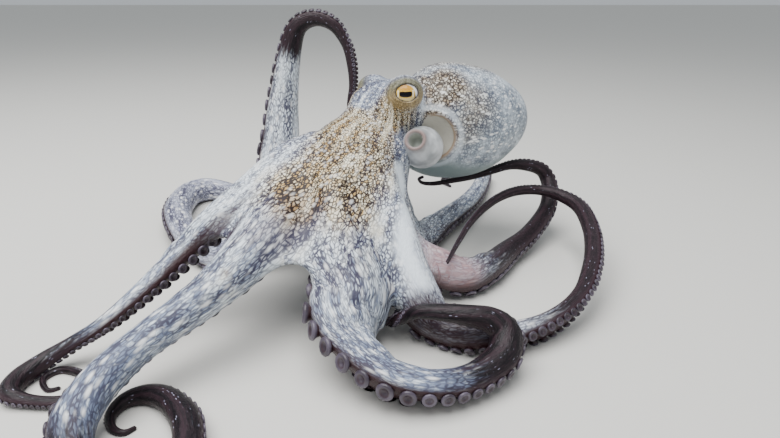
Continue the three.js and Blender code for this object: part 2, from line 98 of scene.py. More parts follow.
ARMS = (
    ArmPlan(
        "arm_left_1", hub=(-206, -182, 6), outward=0.45, join=172.0,
        down=((0.5, 0.7, -0.2, -0.7), (0.7, 0, 0, -1)),
        way=(
            (-34, 2, 118, 46), (-62, -20, 106, 42), (-96, -52, 86, 38), (-113, -66, 78, 30),
            (-135, -79, 60, 27), (-160, -113, 42, 20), (-183, -142, 28, 15), (-205, -152, 17, 13),
            (-222, -163, 10, 14), (-232, -180, 6.8, 15), (-229, -196, 6.2, 14),
            (-214, -201, 4.5, 10), (-193, -201, 3.8, 8.8), (-180, -189, 2.9, 6.9),
            (-192, -170, 2.7, 6.5), (-211, -163, 2.3, 5.9), (-219, -173, 1.9, 5),
            (-210, -185, 1.3, 3.6), (-202, -182, 1, 2.8),
        ),
    ),
    ArmPlan(
        "arm_left_2", hub=(-120, -243, 8), outward=0.5, join=196.0,
        down=((0.36, -0.55, 0.5, -0.65), (0.55, 0, 0, -1)),
        way=(
            (-28, -12, 110, 48), (-52, -44, 92, 46), (-77, -110, 72, 40), (-105, -147, 54, 30),
            (-136, -180, 40, 25), (-151, -201, 32, 26), (-159, -222, 26, 27),
            (-161, -244, 18, 28), (-146, -271, 11.2, 24), (-116, -288, 9.6, 20),
            (-94, -278, 9.3, 20), (-90, -253, 9.4, 20), (-99, -226, 9.2, 20),
            (-119, -203, 7.8, 17), (-136, -196, 6.2, 14), (-149, -201, 4.8, 11),
            (-153, -213, 3.3, 7.9), (-148, -224, 2.3, 5.8), (-139, -228, 1.6, 4.4),
            (-133, -222, 1.1, 3),
        ),
    ),
    ArmPlan(
        "arm_left_3", hub=(60, -165, 22), outward=0.5, join=208.0, fringe=(85.0, 205.0, 0.27),
        down=((0.12, 0, 0.5, -0.85), (0.34, -0.45, -0.1, -0.85)),
        way=(
            (-16, -28, 108, 46), (-16, -64, 84, 50), (1, -120, 47, 62, 41),
            (-2, -141, 33, 65, 39), (2, -161, 21, 58, 35), (19, -185, 15.4, 46, 32),
            (39, -197, 14.3, 35, 30), (64, -198, 12.5, 28, 26), (90, -187, 11.9, 25),
            (111, -168, 17, 26), (114, -153, 28, 24), (104, -149, 36, 20), (87, -149, 40, 16),
            (67, -145, 40, 13), (50, -139, 37, 11), (38, -129, 25, 9.9), (25, -113, 12, 8),
            (-2, -99, 7, 7), (-28, -85, 3.2, 6), (-36, -66, 2.4, 5), (-24, -52, 2, 4),
            (-10, -60, 1.4, 3),
        ),
    ),
    ArmPlan(
        "arm_left_4", hub=(140, -20, 40), outward=0.75, join=192.0, fringe=(100.0, 430.0, 0.27),
        down=((0.2, -0.3, 0.65, -0.7), (0.36, 0, -0.2, -1)),
        way=(
            (6, -24, 108, 44), (26, -54, 74, 42), (52, -104, 29, 39), (72, -122, 13.6, 28),
            (105, -136, 12.1, 25), (141, -126, 10.8, 23), (169, -110, 15, 20), (192, -86, 21, 18),
            (208, -56, 28, 18), (219, -25, 35, 17), (226, 11, 42, 16), (225, 48, 50, 15),
            (210, 70, 55, 13), (191, 80, 57, 11), (166, 72, 59, 10), (144, 55, 58, 8.8),
            (125, 32, 55, 7.5), (107, 2, 51, 6.2), (95, -25, 47, 5.1), (86, -50, 46, 4.1),
            (78, -75, 46, 3),
        ),
    ),
    ArmPlan(
        "arm_right_4", hub=(150, 60, 45), outward=0.65, join=178.0,
        down=((0.14, -0.45, 0.55, -0.7), (0.4, 0, -0.4, -0.9)),
        way=(
            (20, -8, 100, 40), (29, -20, 70, 37), (46, -38, 42, 33), (75, -46, 26, 36),
            (96, -43, 16.3, 34), (120, -24, 14, 29), (148, 17, 12, 25), (175, 48, 17, 21),
            (200, 82, 30, 19), (208, 100, 44, 18), (209, 118, 56, 17), (200, 120, 68, 15),
            (180, 114, 75, 13), (161, 108, 76, 10), (140, 100, 72, 8.2), (116, 88, 69, 6.7),
            (94, 78, 68, 5.5), (76, 70, 68, 4.6), (64, 66, 70, 3.8), (60, 63, 75, 3.3),
            (65, 60, 79, 3.1),
        ),
    ),
    ArmPlan(
        "arm_right_3", hub=(134, 278, 5), outward=0.3, join=152.0,
        down=((0.14, -0.4, -0.5, -0.7), (0.3, 0.4, -0.2, -0.9)),
        way=(
            (18, 24, 100, 40), (28, 32, 62, 37), (42, 32, 34, 33), (60, 36, 19, 31),
            (92, 97, 14.1, 29), (121, 150, 12.1, 26), (142, 201, 11, 23), (161, 268, 9.2, 20),
            (164, 290, 6, 13), (144, 306, 5, 10), (116, 298, 4, 7.5), (104, 274, 3, 5.5),
            (114, 254, 1.6, 3.4),
        ),
    ),
    ArmPlan(
        "arm_right_2", hub=(-52, 150, 150), outward=0.0, join=198.0,
        down=((0.14, 0.4, -0.4, -0.8), (0.36, -0.75, 0.6, -0.2), (0.57, -0.75, 0.6, 0.3),
              (0.67, 0, 0.35, 1), (0.78, 0.9, -0.35, 0.1)),
        way=(
            (-2, 34, 108, 44), (-28, 66, 86, 42), (-62, 96, 61, 42), (-90, 115, 55, 42),
            (-99, 130, 71, 43), (-95, 140, 97, 43), (-91, 150, 140, 35), (-83, 152, 184, 28),
            (-74, 152, 214, 23), (-62, 151, 226, 20), (-45, 148, 229, 18), (-28, 145, 221, 16),
            (-16, 142, 202, 13), (-11, 138, 181, 12), (-10, 134, 160, 10), (-13, 130, 141, 8.8),
            (-16, 122, 108, 6.5), (-24, 112, 84, 5), (-16, 100, 68, 3.4),
        ),
    ),
    ArmPlan(
        "arm_right_1", hub=(-165, 130, 12), outward=0.5, join=144.0,
        down=((0.28, 0.5, -0.1, -0.85), (0.42, 0, 0, -1)),
        way=(
            (-22, 22, 110, 44), (-58, 30, 76, 42), (-92, 24, 38, 38), (-126, 5, 16.6, 34),
            (-156, 19, 15.5, 32), (-188, 56, 14.8, 31), (-216, 116, 15.3, 32),
            (-224, 178, 15.1, 31), (-210, 205, 14.3, 30), (-183, 205, 12.1, 25),
            (-155, 189, 9.6, 20), (-128, 161, 6.8, 15), (-112, 130, 3.5, 8.3),
            (-118, 109, 1.7, 4),
        ),
    ),
)


@dataclass(frozen=True)
class WebPlan:
    """A web between two arms: how far it reaches along each, and how deep its arch is cut."""

    arms: tuple[str, str]
    reach: Row
    arch: float


WEBS = (
    WebPlan(("arm_left_1", "arm_left_2"), (150, 165), 0.24),
    WebPlan(("arm_left_2", "arm_left_3"), (178, 186), 0.38),
    WebPlan(("arm_left_3", "arm_left_4"), (172, 172), 0.32),
    WebPlan(("arm_left_4", "arm_right_4"), (165, 158), 0.34),
    WebPlan(("arm_right_4", "arm_right_3"), (135, 135), 0.46),
    WebPlan(("arm_right_3", "arm_right_2"), (130, 122), 0.46),
    WebPlan(("arm_right_2", "arm_right_1"), (122, 122), 0.44),
    WebPlan(("arm_right_1", "arm_left_1"), (124, 124), 0.42),
)


@dataclass(frozen=True)
class BodyPlan:
    """Stations and centres of the head, crown, mantle, funnel and eyes."""

    crown_centre: Row = (2, 8, 114)
    crown_radii: Row = (48, 46, 40)
    crown_yaw: float = 32.0
    head: tuple[Row, ...] = (
        (62, 58, 145, 20, 21), (54, 53, 148, 28, 28), (36, 42, 152, 30, 29),
        (15, 29, 152, 27, 27), (2, 21, 148, 18, 19), (-5, 17, 145, 7, 8),
    )
    mantle: tuple[Row, ...] = (
        (48, 45, 146, 30, 38), (60, 53, 141, 43, 50), (78, 66, 136, 52, 57),
        (101, 82, 132, 56, 57.5), (124, 97, 130, 52, 52), (143, 109, 128, 42, 41),
        (158, 120, 125, 28, 28), (168, 127, 124, 13, 13), (172, 130, 124, 2.5, 2.5),
    )
    opening_centre: Row = (66, 12, 128)
    opening_radii: Row = (29, 18, 30)
    funnel: tuple[Row, ...] = (
        (64, 32, 119, 15), (61, 19, 121, 19.5), (58, 7, 125, 18.5), (55, -2, 130.5, 14.5),
        (52.5, -10, 135.5, 10.2),
    )
    funnel_bore: float = 6.6
    funnel_bore_depth: float = 12.0


@dataclass(frozen=True)
class EyePlan:
    """One eye: its turret, where it looks, and the opening between its lids."""

    name: str
    turret: Row
    turret_radius: float
    gaze: Row
    ball_radius: float = 14.0
    ball_offset: float = 4.6
    lid_radius: float = 15.6
    opening: Row = (9.6, 7.2)

    @property
    def axes(self) -> tuple[Array, Array, Array]:
        """Directions of the eye.

        Returns:
            Unit vectors to the eye's right, up and out along its gaze.
        """
        out = unit(np.array(self.gaze, float))
        right = unit(np.cross(out, (0.0, 0.0, -1.0)))
        return right, np.cross(out, right), out

    @property
    def centre(self) -> Array:
        """Centre of the eyeball."""
        return np.array(self.turret, float) + self.axes[2] * self.ball_offset

    def local(self, points: Array) -> Array:
        """Places to the eye's right, up and out from its centre, one a column."""
        return np.array(self.axes) @ (points - self.centre).T


EYES = (
    EyePlan("eye_left", (43, 16, 171.5), 16.5, (0.12, -0.97, 0.24)),
    EyePlan("eye_right", (17, 60, 165.5), 15.5, (-0.82, 0.54, 0.16)),
)


# ---- small arithmetic ----


def unit(vectors: Array) -> Array:
    """Vectors scaled to length one along their last axis."""
    length = np.linalg.norm(vectors, axis=-1, keepdims=True)
    return vectors / np.maximum(length, 1e-9)


def ramp(value: Array | float, low: float, high: float) -> Array:
    """Smooth step from 0 at low to 1 at high."""
    share = np.clip((np.asarray(value, float) - low) / (high - low), 0.0, 1.0)
    return share * share * (3.0 - 2.0 * share)


def smooth_min(a: Array, b: Array, blend: float) -> Array:
    """Union of two distances, rounded over a width of blend."""
    share = np.clip(0.5 + 0.5 * (b - a) / blend, 0.0, 1.0)
    return b + (a - b) * share - blend * share * (1.0 - share)


def smooth_max(a: Array, b: Array, blend: float) -> Array:
    """Overlap of two distances, rounded over a width of blend."""
    return -smooth_min(-a, -b, blend)


def dot(a: Array, b: Array) -> Array:
    """Row by row dot product."""
    return np.einsum("ij,ij->i", a, b)


def nearest(points: Array, centres: Array) -> Array:
    """Index of the closest centre to each point.

    Args:
        points: Places to look from, one a row.
        centres: Places to choose among, one a row.

    Returns:
        One index into centres for each point.
    """
    chosen = np.empty(len(points), int)
    middle = centres.mean(0)
    spots = (centres - middle).astype(np.float32)
    square, doubled = (spots ** 2).sum(1), -2 * spots.T.copy()
    for start in range(0, len(points), NEAREST_BATCH):
        part = (points[start:start + NEAREST_BATCH] - middle).astype(np.float32)
        chosen[start:start + NEAREST_BATCH] = (part @ doubled + square).argmin(1)
    return chosen


def catmull_rom(rows: Array, at: Array) -> Array:
    """Uniform Catmull-Rom values of a table.

    Args:
        rows: The table, one station a row.
        at: Fractional row numbers.

    Returns:
        One interpolated row for each value of at.
    """
    first = np.clip(np.floor(at).astype(int), 0, len(rows) - 2)
    u = (at - first)[:, None]
    padded = np.vstack([2 * rows[0] - rows[1], rows, 2 * rows[-1] - rows[-2]])
    a, b, c, d = (padded[first + k] for k in range(4))
    return 0.5 * (2 * b + (c - a) * u + (2 * a - 5 * b + 4 * c - d) * u ** 2
                  + (3 * b - a - 3 * c + d) * u ** 3)


# ---- arms ----


@dataclass(frozen=True)
class ArmSection:
    """Outline of an arm's flesh in shares of its half width and half depth.

    The turn is 0 on the back of the arm and half a circle on the sucker side. A lens share of 1
    gives the flattened, thin-edged section of an arm that spreads into a web.
    """

    edge: float = 0.10  # level of the widest point
    sole: float = 0.58  # level of the flesh that carries the suckers
    groove: float = 0.10  # dip between the two rows of suckers
    groove_width: float = 0.26
    lens_limits: Row = (1.15, 1.75)

    def outline(self, turn: Array, lens: Array | float) -> tuple[Array, Array]:
        """Coordinates of the outline.

        Args:
            turn: Angles round the section.
            lens: Lens share, one number or one for each turn.

        Returns:
            The sideways and the sucker-ward coordinate at each turn.
        """
        across, rise = np.sin(turn), np.cos(turn)
        back = self.edge - (1 + self.edge) * np.abs(rise) ** (1 + 0.7 * np.asarray(lens))
        dip = self.groove * np.exp(-(across / self.groove_width) ** 2)
        front = self.edge + (self.sole - self.edge) * np.abs(rise) ** 0.7 - dip
        return across, np.where(rise > 0, back, np.maximum(front, self.edge * 0.5))

    def lens(self, width: Array, depth: Array) -> Array:
        """Lens share of an arm that is this wide and this deep."""
        return ramp(width / depth, *self.lens_limits)

    def polar_table(self, levels: int = 7, angles: int = 360) -> Array:
        """Tabulate the radius of the outline.

        Args:
            levels: Number of lens shares, from 0 to 1.
            angles: Number of angles, from -pi to pi.

        Returns:
            Radii by lens level and by angle.
        """
        turn = np.linspace(0, 2 * np.pi, 721)[:-1]
        wanted = np.linspace(-np.pi, np.pi, angles)
        table = []
        for lens in np.linspace(0, 1, levels):
            across, deep = self.outline(turn, lens)
            angle, radius = np.arctan2(deep, across), np.hypot(across, deep)
            order = np.argsort(angle)
            table.append(np.interp(wanted, angle[order], radius[order], period=2 * np.pi))
        return np.array(table)


SECTION = ArmSection()


def walk(stations: Sequence[Row], finer: int) -> tuple[Array, Array]:
    """Follow a line of stations closely.

    Args:
        stations: Rows of x, y, z, width and, where it differs, depth.
        finer: Number of short pieces between two stations.

    Returns:
        The fine rows, and the distance walked to each.
    """
    rows = np.array([(*row, row[3])[:5] for row in stations], float)
    fine = catmull_rom(rows, np.linspace(0, len(rows) - 1, finer * (len(rows) - 1) + 1))
    steps = np.linalg.norm(np.diff(fine[:, :3], axis=0), axis=1)
    return fine, np.r_[0.0, np.cumsum(steps)]


class Limb:
    """The centre line of one arm, walked in equal steps, with the frame of its section."""

    STEP = 1.5
    FINER = 24  # short pieces between two stations of the plan
    AHEAD = 3  # steps on each side over which the direction is taken
    TURN_SMOOTHING = 5  # steps on each side over which the sucker direction is averaged

    def __init__(self, plan: ArmPlan) -> None:
        """Sample the plan's centre line.

        Args:
            plan: The arm's plan.
        """
        self.plan = plan
        fine, walked = walk(plan.way, self.FINER)
        self.length = float(walked[-1])
        self.at = np.linspace(0.0, self.length, int(self.length / self.STEP) + 1)
        table = np.stack([np.interp(self.at, walked, fine[:, c]) for c in range(5)], 1)
        self.points, self.width, self.depth = table[:, :3], table[:, 3], table[:, 4]
        step = np.arange(len(self.at))
        ahead = self.points[np.minimum(step + self.AHEAD, len(step) - 1)]
        self.tangent = unit(ahead - self.points[np.maximum(step - self.AHEAD, 0)])
        self.facing = self._facing()
        self.side = np.cross(self.facing, self.tangent)

    def _facing(self) -> Array:
        """Work out which way the sucker face looks.

        Returns:
            A direction for each step, square to the centre line.
        """
        plan = self.plan
        rows = plan.down
        here = (self.at / self.length)[:, None]
        facing = np.tile(np.array(rows[0][1:], float), (len(here), 1))
        for before, row in zip(rows, rows[1:]):
            share = ramp(here, before[0], row[0])
            facing = facing * (1 - share) + np.array(row[1:], float) * share
        turned = plan.outward * ramp(here, rows[0][0], rows[-1][0])
        away = unit(self.points - np.array(plan.hub, float))
        facing = facing * (1 - turned) + away * turned
        facing = unit(facing - self.tangent * dot(facing, self.tangent)[:, None])
        width = 2 * self.TURN_SMOOTHING + 1
        padded = np.pad(facing, ((width // 2,) * 2, (0, 0)), mode="edge")
        facing = np.stack([np.convolve(padded[:, c], np.ones(width) / width, "valid")
                           for c in range(3)], 1)
        return unit(facing - self.tangent * dot(facing, self.tangent)[:, None])

    def sample(self, table: Array, at: Array) -> Array:
        """Read one of the limb's tables.

        Args:
            table: Numbers or vectors, one for each step.
            at: Distances walked.

        Returns:
            The table's value at each distance.
        """
        place = np.clip(np.asarray(at, float) / self.length * (len(self.at) - 1), 0,
                        len(self.at) - 1.0001)
        first = place.astype(int)
        share = place - first
        if table.ndim == 2:
            share = share[:, None]
        return table[first] * (1 - share) + table[first + 1] * share

    def frame(self, at: Array) -> tuple[Array, ...]:
        """Read the limb's section at some places.

        Args:
            at: Distances walked.

        Returns:
            Its middle, the directions across it, out of the sucker face and along the limb, and
            its half width and half depth.
        """
        ways = [unit(self.sample(table, at)) for table in (self.side, self.facing, self.tangent)]
        return (self.sample(self.points, at), *ways,
                self.sample(self.width, at) / 2, self.sample(self.depth, at) / 2)

    def locate(self, points: Array, until: float | None = None) -> dict[str, Array]:
        """Place of points in the frame of the nearest section.

        Args:
            points: Places in the animal's frame, one a row.
            until: Distance walked past which the limb is left out.

        Returns:
            at: distance walked; across and deep: place in the section; along: what is left in
            the direction of the limb, past its ends; wide and high: half sizes of the section.
        """
        last = len(self.at) if until is None else int(until / self.STEP) + 1
        i = nearest(points, self.points[:last])
        ahead = dot(points - self.points[i], self.tangent[i])
        at = np.clip(self.at[i] + np.clip(ahead, -self.STEP, self.STEP), 0,
                     self.at[last - 1])
        centre, side, facing, tangent, wide, high = self.frame(at)
        offset = points - centre
        return {"at": at, "across": dot(offset, side), "deep": dot(offset, facing),
                "along": dot(offset, tangent), "wide": wide, "high": high}

    def ring(self, at: float, turn: Array) -> Array:
        """Outline of the flesh in space.

        Args:
            at: Distance walked.
            turn: Angles round the section.

        Returns:
            One point for each turn.
        """
        centre, side, facing, _, wide, high = self.frame(np.array([at]))
        across, deep = SECTION.outline(turn, SECTION.lens(wide, high))
        return centre + across[:, None] * wide * side + deep[:, None] * high * facing


# ---- distance field of the body ----


class Solid:
    """A form with a signed distance, negative inside, known near its own box."""

    low: Array
    high: Array

    def set_box(self, points: Array, room: float) -> None:
        """Give the solid a box round points, with room to spare on each side."""
        self.low, self.high = points.min(0) - room, points.max(0) + room

    def distance(self, points: Array) -> Array:
        """Signed distance of each point to the surface."""
        raise NotImplementedError


class Ball(Solid):
    """An ellipsoid turned about the vertical."""

    def __init__(self, centre: Sequence[float], radii: Sequence[float], yaw: float = 0.0):
        """Keep the ellipsoid.

        Args:
            centre: Its middle.
            radii: Its half sizes along its own axes.
            yaw: Its turn about the vertical, in degrees.
        """
        self.centre, self.radii = np.array(centre, float), np.array(radii, float)
        turn = math.radians(yaw)
        self.turn = np.array([[math.cos(turn), -math.sin(turn), 0],
                              [math.sin(turn), math.cos(turn), 0], [0, 0, 1]])
        self.set_box(self.centre[None], float(self.radii.max()))

    def distance(self, points: Array) -> Array:
        """Signed distance, exact on a sphere and close near any ellipsoid.

        Args:
            points: Places, one a row.

        Returns:
            One distance for each point.
        """
        local = (points - self.centre) @ self.turn / self.radii
        reach = np.maximum(np.linalg.norm(local, axis=1), 1e-6)
        slope = np.linalg.norm(local / self.radii, axis=1) / reach
        return (reach - 1) / np.maximum(slope, 1e-6)


class Tube(Solid):
    """A form of oval sections square to a centre line."""

    FINER, STEP = 30, 2.0  # pieces between two stations, and length of a step
    THINNEST = 0.4  # least half size of a section
    PAST = 0.5  # how far past its ends a point counts as beyond them

    def __init__(self, stations: Sequence[Row]):
        """Sample the centre line.

        Args:
            stations: Rows of x, y, z, half width and half height.
        """
        fine, walked = walk(stations, self.FINER)
        at = np.linspace(0, walked[-1], max(4, int(walked[-1] / self.STEP)))
        table = np.stack([np.interp(at, walked, fine[:, c]) for c in range(5)], 1)
        self.points, self.sizes = table[:, :3], np.maximum(table[:, 3:], self.THINNEST)
        self.tangent = unit(np.gradient(self.points, axis=0))
        self.slope = np.gradient(self.sizes.mean(1), at)
        self.step = at[1]
        self.set_box(self.points, float(self.sizes.max()))

    def distance(self, points: Array) -> Array:
        """Signed distance, measured square to the centre line and eased by its taper.

        Args:
            points: Places, one a row.

        Returns:
            One distance for each point.
        """
        i = nearest(points, self.points)
        ahead = np.clip(dot(points - self.points[i], self.tangent[i]) / self.step, -1, 1)
        j = np.clip(i + np.sign(ahead).astype(int), 0, len(self.points) - 1)
        share = np.abs(ahead)[:, None]
        centre, sizes, tangent, slope = (
            table[i] * (1 - share) + table[j] * share
            for table in (self.points, self.sizes, self.tangent, self.slope[:, None]))
        tangent = unit(tangent)
        side = unit(np.cross(tangent, (0.0, 0.0, 1.0)))
        offset = points - centre
        local = np.stack([dot(offset, side), dot(offset, np.cross(side, tangent))], 1) / sizes
        reach = np.maximum(np.linalg.norm(local, axis=1), 1e-6)
        steep = np.linalg.norm(local / sizes, axis=1) / reach
        across = (reach - 1) / np.maximum(steep, 1e-6) / np.hypot(1, slope[:, 0])
        along = dot(offset, tangent)
        beyond = np.hypot(np.maximum(across, 0), along)
        return np.where(np.abs(along) > self.PAST, beyond, across)


class ArmFlesh(Solid):
    """The flesh of one arm up to a distance walked."""

    TABLE = SECTION.polar_table()

    def __init__(self, limb: Limb, until: float):
        """Keep the limb.

        Args:
            limb: The arm.
            until: Distance walked where its flesh stops.
        """
        self.limb, self.until = limb, until
        used = limb.at <= until
        self.set_box(limb.points[used], float(limb.width[used].max()) / 2)

    def distance(self, points: Array) -> Array:
        """Signed distance, measured in the plane of the nearest section.

        Args:
            points: Places, one a row.

        Returns:
            One distance for each point.
        """
        place = self.limb.locate(points, self.until)
        across, deep = place["across"] / place["wide"], place["deep"] / place["high"]
        lens = SECTION.lens(place["wide"], place["high"]) * (len(self.TABLE) - 1)
        low = np.clip(lens.astype(int), 0, len(self.TABLE) - 2)
        angle = (np.arctan2(deep, across) + np.pi) / (2 * np.pi) * (self.TABLE.shape[1] - 1)
        left = np.clip(angle.astype(int), 0, self.TABLE.shape[1] - 2)
        u, v = angle - left, lens - low
        radius = ((self.TABLE[low, left] * (1 - u) + self.TABLE[low, left + 1] * u) * (1 - v)
                  + (self.TABLE[low + 1, left] * (1 - u) + self.TABLE[low + 1, left + 1] * u) * v)
        reach = np.maximum(np.hypot(across, deep), 1e-6)
        steep = np.hypot(across / place["wide"], deep / place["high"]) / reach
        flat = (reach - radius) / np.maximum(steep, 1e-6)
        past = np.abs(place["along"]) > self.limb.STEP
        return np.where(past, np.hypot(np.maximum(flat, 0), place["along"]), flat)


class Web(Solid):
    """A thin curved sheet between two arms, thicker and prouder towards the crown."""

    ROWS, COLUMNS = 26, 28
    LIFT = (0.92, 0.30)  # how far it lies towards the arms' backs, at crown and edge
    LEAN = 0.30  # how far it starts from the arms' centre lines, in half widths
    START = 0.16  # share of the reach where it leaves the crown
    HALF = (9.0, 2.0)  # half thickness at the crown and at the free edge
    FULLNESS = 4.0  # how far its middle swells outwards
    THINNING = 1.4  # how quickly it thins away from the crown
    OUTWARD_REACH = 80.0  # distance walked where the arms tell which side is outwards
    PATCH = 0.75  # radius round a point that counts as flat, in spacings

    def __init__(self, plan: WebPlan, limbs: dict[str, Limb]):
        """Lay out the sheet's points, normals and half thicknesses.

        Args:
            plan: The web's plan.
            limbs: The arms by name.
        """
        row, turn = np.meshgrid(np.linspace(self.START, 1, self.ROWS),
                                np.linspace(0, np.pi, self.COLUMNS), indexing="ij")
        col = (1 - np.cos(turn)) / 2
        out = (row * (1 - plan.arch * np.sin(turn))).ravel()
        share = col.ravel()[:, None]
        ease = np.clip((row.ravel() - self.START) / (1 - self.START), 0, 1)
        pair = [limbs[name] for name in plan.arms]
        places = [limb.sample(limb.points, out * reach) for limb, reach in zip(pair, plan.reach)]
        backs = []
        for k, (limb, reach) in enumerate(zip(pair, plan.reach)):
            at = out * reach
            facing = limb.sample(limb.facing, at)
            lift = self.LIFT[0] + (self.LIFT[1] - self.LIFT[0]) * ease
            lift = (limb.sample(limb.depth, at) / 2 * lift - self.HALF[0] * (1 - ease))[:, None]
            towards = places[1 - k] - places[k]
            towards = unit(towards - facing * dot(towards, facing)[:, None])
            lean = (limb.sample(limb.width, at) / 2 * self.LEAN * (1 - ease))[:, None]
            backs.append(places[k] - facing * lift + towards * lean)
        grid = (backs[0] * (1 - share) + backs[1] * share).reshape(self.ROWS, self.COLUMNS, 3)
        down, over = np.gradient(grid, axis=0), np.gradient(grid, axis=1)
        normal = unit(np.cross(down, over)).reshape(-1, 3)
        outward = -unit(sum(limb.sample(limb.facing, out * self.OUTWARD_REACH)
                            for limb in pair))
        normal = (normal * np.sign(dot(normal, outward))[:, None]).reshape(grid.shape)
        swell = self.FULLNESS * 4 * col * (1 - col) * np.sin(np.pi * row)
        self.points = (grid + normal * swell[..., None]).reshape(-1, 3)
        self.normal = normal.reshape(-1, 3)
        self.half = self.HALF[1] + (self.HALF[0] - self.HALF[1]) * (1 - ease) ** self.THINNING
        edge = np.zeros(grid.shape)
        brink = unit(np.cross(over[-1], normal[-1]))
        edge[-1] = brink * np.sign(dot(brink, down[-1]))[:, None]
        self.edge = edge.reshape(-1, 3)
        self.patch = self.PATCH * np.hypot(np.linalg.norm(down, axis=2),
                                           np.linalg.norm(over, axis=2)).ravel()
        self.set_box(self.points, self.HALF[0])

    def distance(self, points: Array) -> Array:
        """Signed distance to the rounded sheet.

        Args:
            points: Places, one a row.

        Returns:
            One distance for each point.
        """
        i = nearest(points, self.points)
        offset = points - self.points[i]
        square = dot(offset, self.normal[i])
        flat = np.sqrt(np.maximum((offset ** 2).sum(1) - square ** 2, 0)) - self.patch[i]
        past = np.maximum(dot(offset, self.edge[i]), np.maximum(flat, 0))
        return np.hypot(square, past) - self.half[i]


class Body(Solid):
    """The whole body: mantle, head, crown, webs and the roots of the arms, melted together."""

    ARM_BLEND, WEB_BLEND, HEAD_BLEND, MANTLE_BLEND = 14.0, 12.0, 14.0, 7.0
    TURRET_BLEND, LID_BLEND = 8.0, 3.0
    RIM_RADIUS, RIM_BLEND, RIM_MELT = 1.7, 2.4, 1.5
    RIM_PLACE = (-1.0, 0.6)  # the rim's distance from the mantle's skin and from the opening
    CUT_PAST_JOIN = 26.0  # how far the flesh goes on past the join before it is cut
    LID_REACH = 12.0  # how far round the lids their opening is worked out
    LID_FLOOR = 4.0  # height in front of the ball's centre where the opening ends
    LID_EDGE = 1.4  # rounding of the lids' edges

    def __init__(self, plan: BodyPlan, limbs: dict[str, Limb]):
        """Make the solids that the body is the union of.

        Args:
            plan: The body's plan.
            limbs: The arms by name.
        """
        self.plan, self.limbs = plan, limbs
        self.mantle = Tube(plan.mantle)
        self.opening = Ball(plan.opening_centre, plan.opening_radii)
        self.parts: list[tuple[Solid, float]] = [
            (Ball(plan.crown_centre, plan.crown_radii, plan.crown_yaw), 1.0),
            (Tube(plan.head), self.HEAD_BLEND),
        ]
        self.parts += [(ArmFlesh(limb, limb.plan.join + self.CUT_PAST_JOIN), self.ARM_BLEND)
                       for limb in limbs.values()]
        self.parts += [(Web(web, limbs), self.WEB_BLEND) for web in WEBS]
        self.turrets = [(Ball(eye.turret, (eye.turret_radius,) * 3), self.TURRET_BLEND)
                        for eye in EYES]
        self.lids = [(Ball(eye.centre, (eye.lid_radius,) * 3), self.LID_BLEND) for eye in EYES]
        boxes = [part for part, _ in self.parts] + [self.mantle]
        self.low = np.min([part.low for part in boxes], 0)
        self.high = np.max([part.high for part in boxes], 0)

    @staticmethod
    def _near(solid: Solid, points: Array) -> Array:
        """Which points are near enough to a solid for it to matter."""
        return np.all((points > solid.low - BLEND_ROOM) & (points < solid.high + BLEND_ROOM), 1)

    def distance(self, points: Array) -> Array:
        """Signed distance to the melted body.

        Args:
            points: Places, one a row.

        Returns:
            One distance for each point.
        """
        total = np.full(len(points), FAR)
        for solid, blend in [*self.parts, *self.turrets, *self.lids]:
            near = self._near(solid, points)
            if near.any():
                total[near] = smooth_min(total[near], solid.distance(points[near]), blend)
        near = self._near(self.mantle, points)
        if near.any():
            part = points[near]
            skin, cut = self.mantle.distance(part), self.opening.distance(part)
            shell = smooth_max(skin, -cut, self.RIM_BLEND)
            rim = np.hypot(skin - self.RIM_PLACE[0], cut - self.RIM_PLACE[1])
            shell = smooth_min(shell, rim - self.RIM_RADIUS, self.RIM_MELT)
            total[near] = smooth_min(total[near], shell, self.MANTLE_BLEND)
        for eye in EYES:
            total = self._open_lids(eye, points, total)
        return total

    def _open_lids(self, eye: EyePlan, points: Array, total: Array) -> Array:
        """Cut the opening between one eye's lids, down past the front of the ball.

        Args:
            eye: The eye.
            points: Places, one a row.
            total: Distances so far.

        Returns:
            The distances with the opening cut.
        """
        near = np.linalg.norm(points - eye.centre, axis=1) < eye.lid_radius + self.LID_REACH
        if not near.any():
            return total
        x, y, z = eye.local(points[near])
        wide, high = eye.opening
        gap = (np.hypot(x / wide, y / high) - 1) * high
        gap = np.maximum(gap, self.LID_FLOOR - z)
        total = total.copy()
        total[near] = smooth_max(total[near], -np.minimum(gap, FAR), self.LID_EDGE)
        return total


# ---- meshing ----


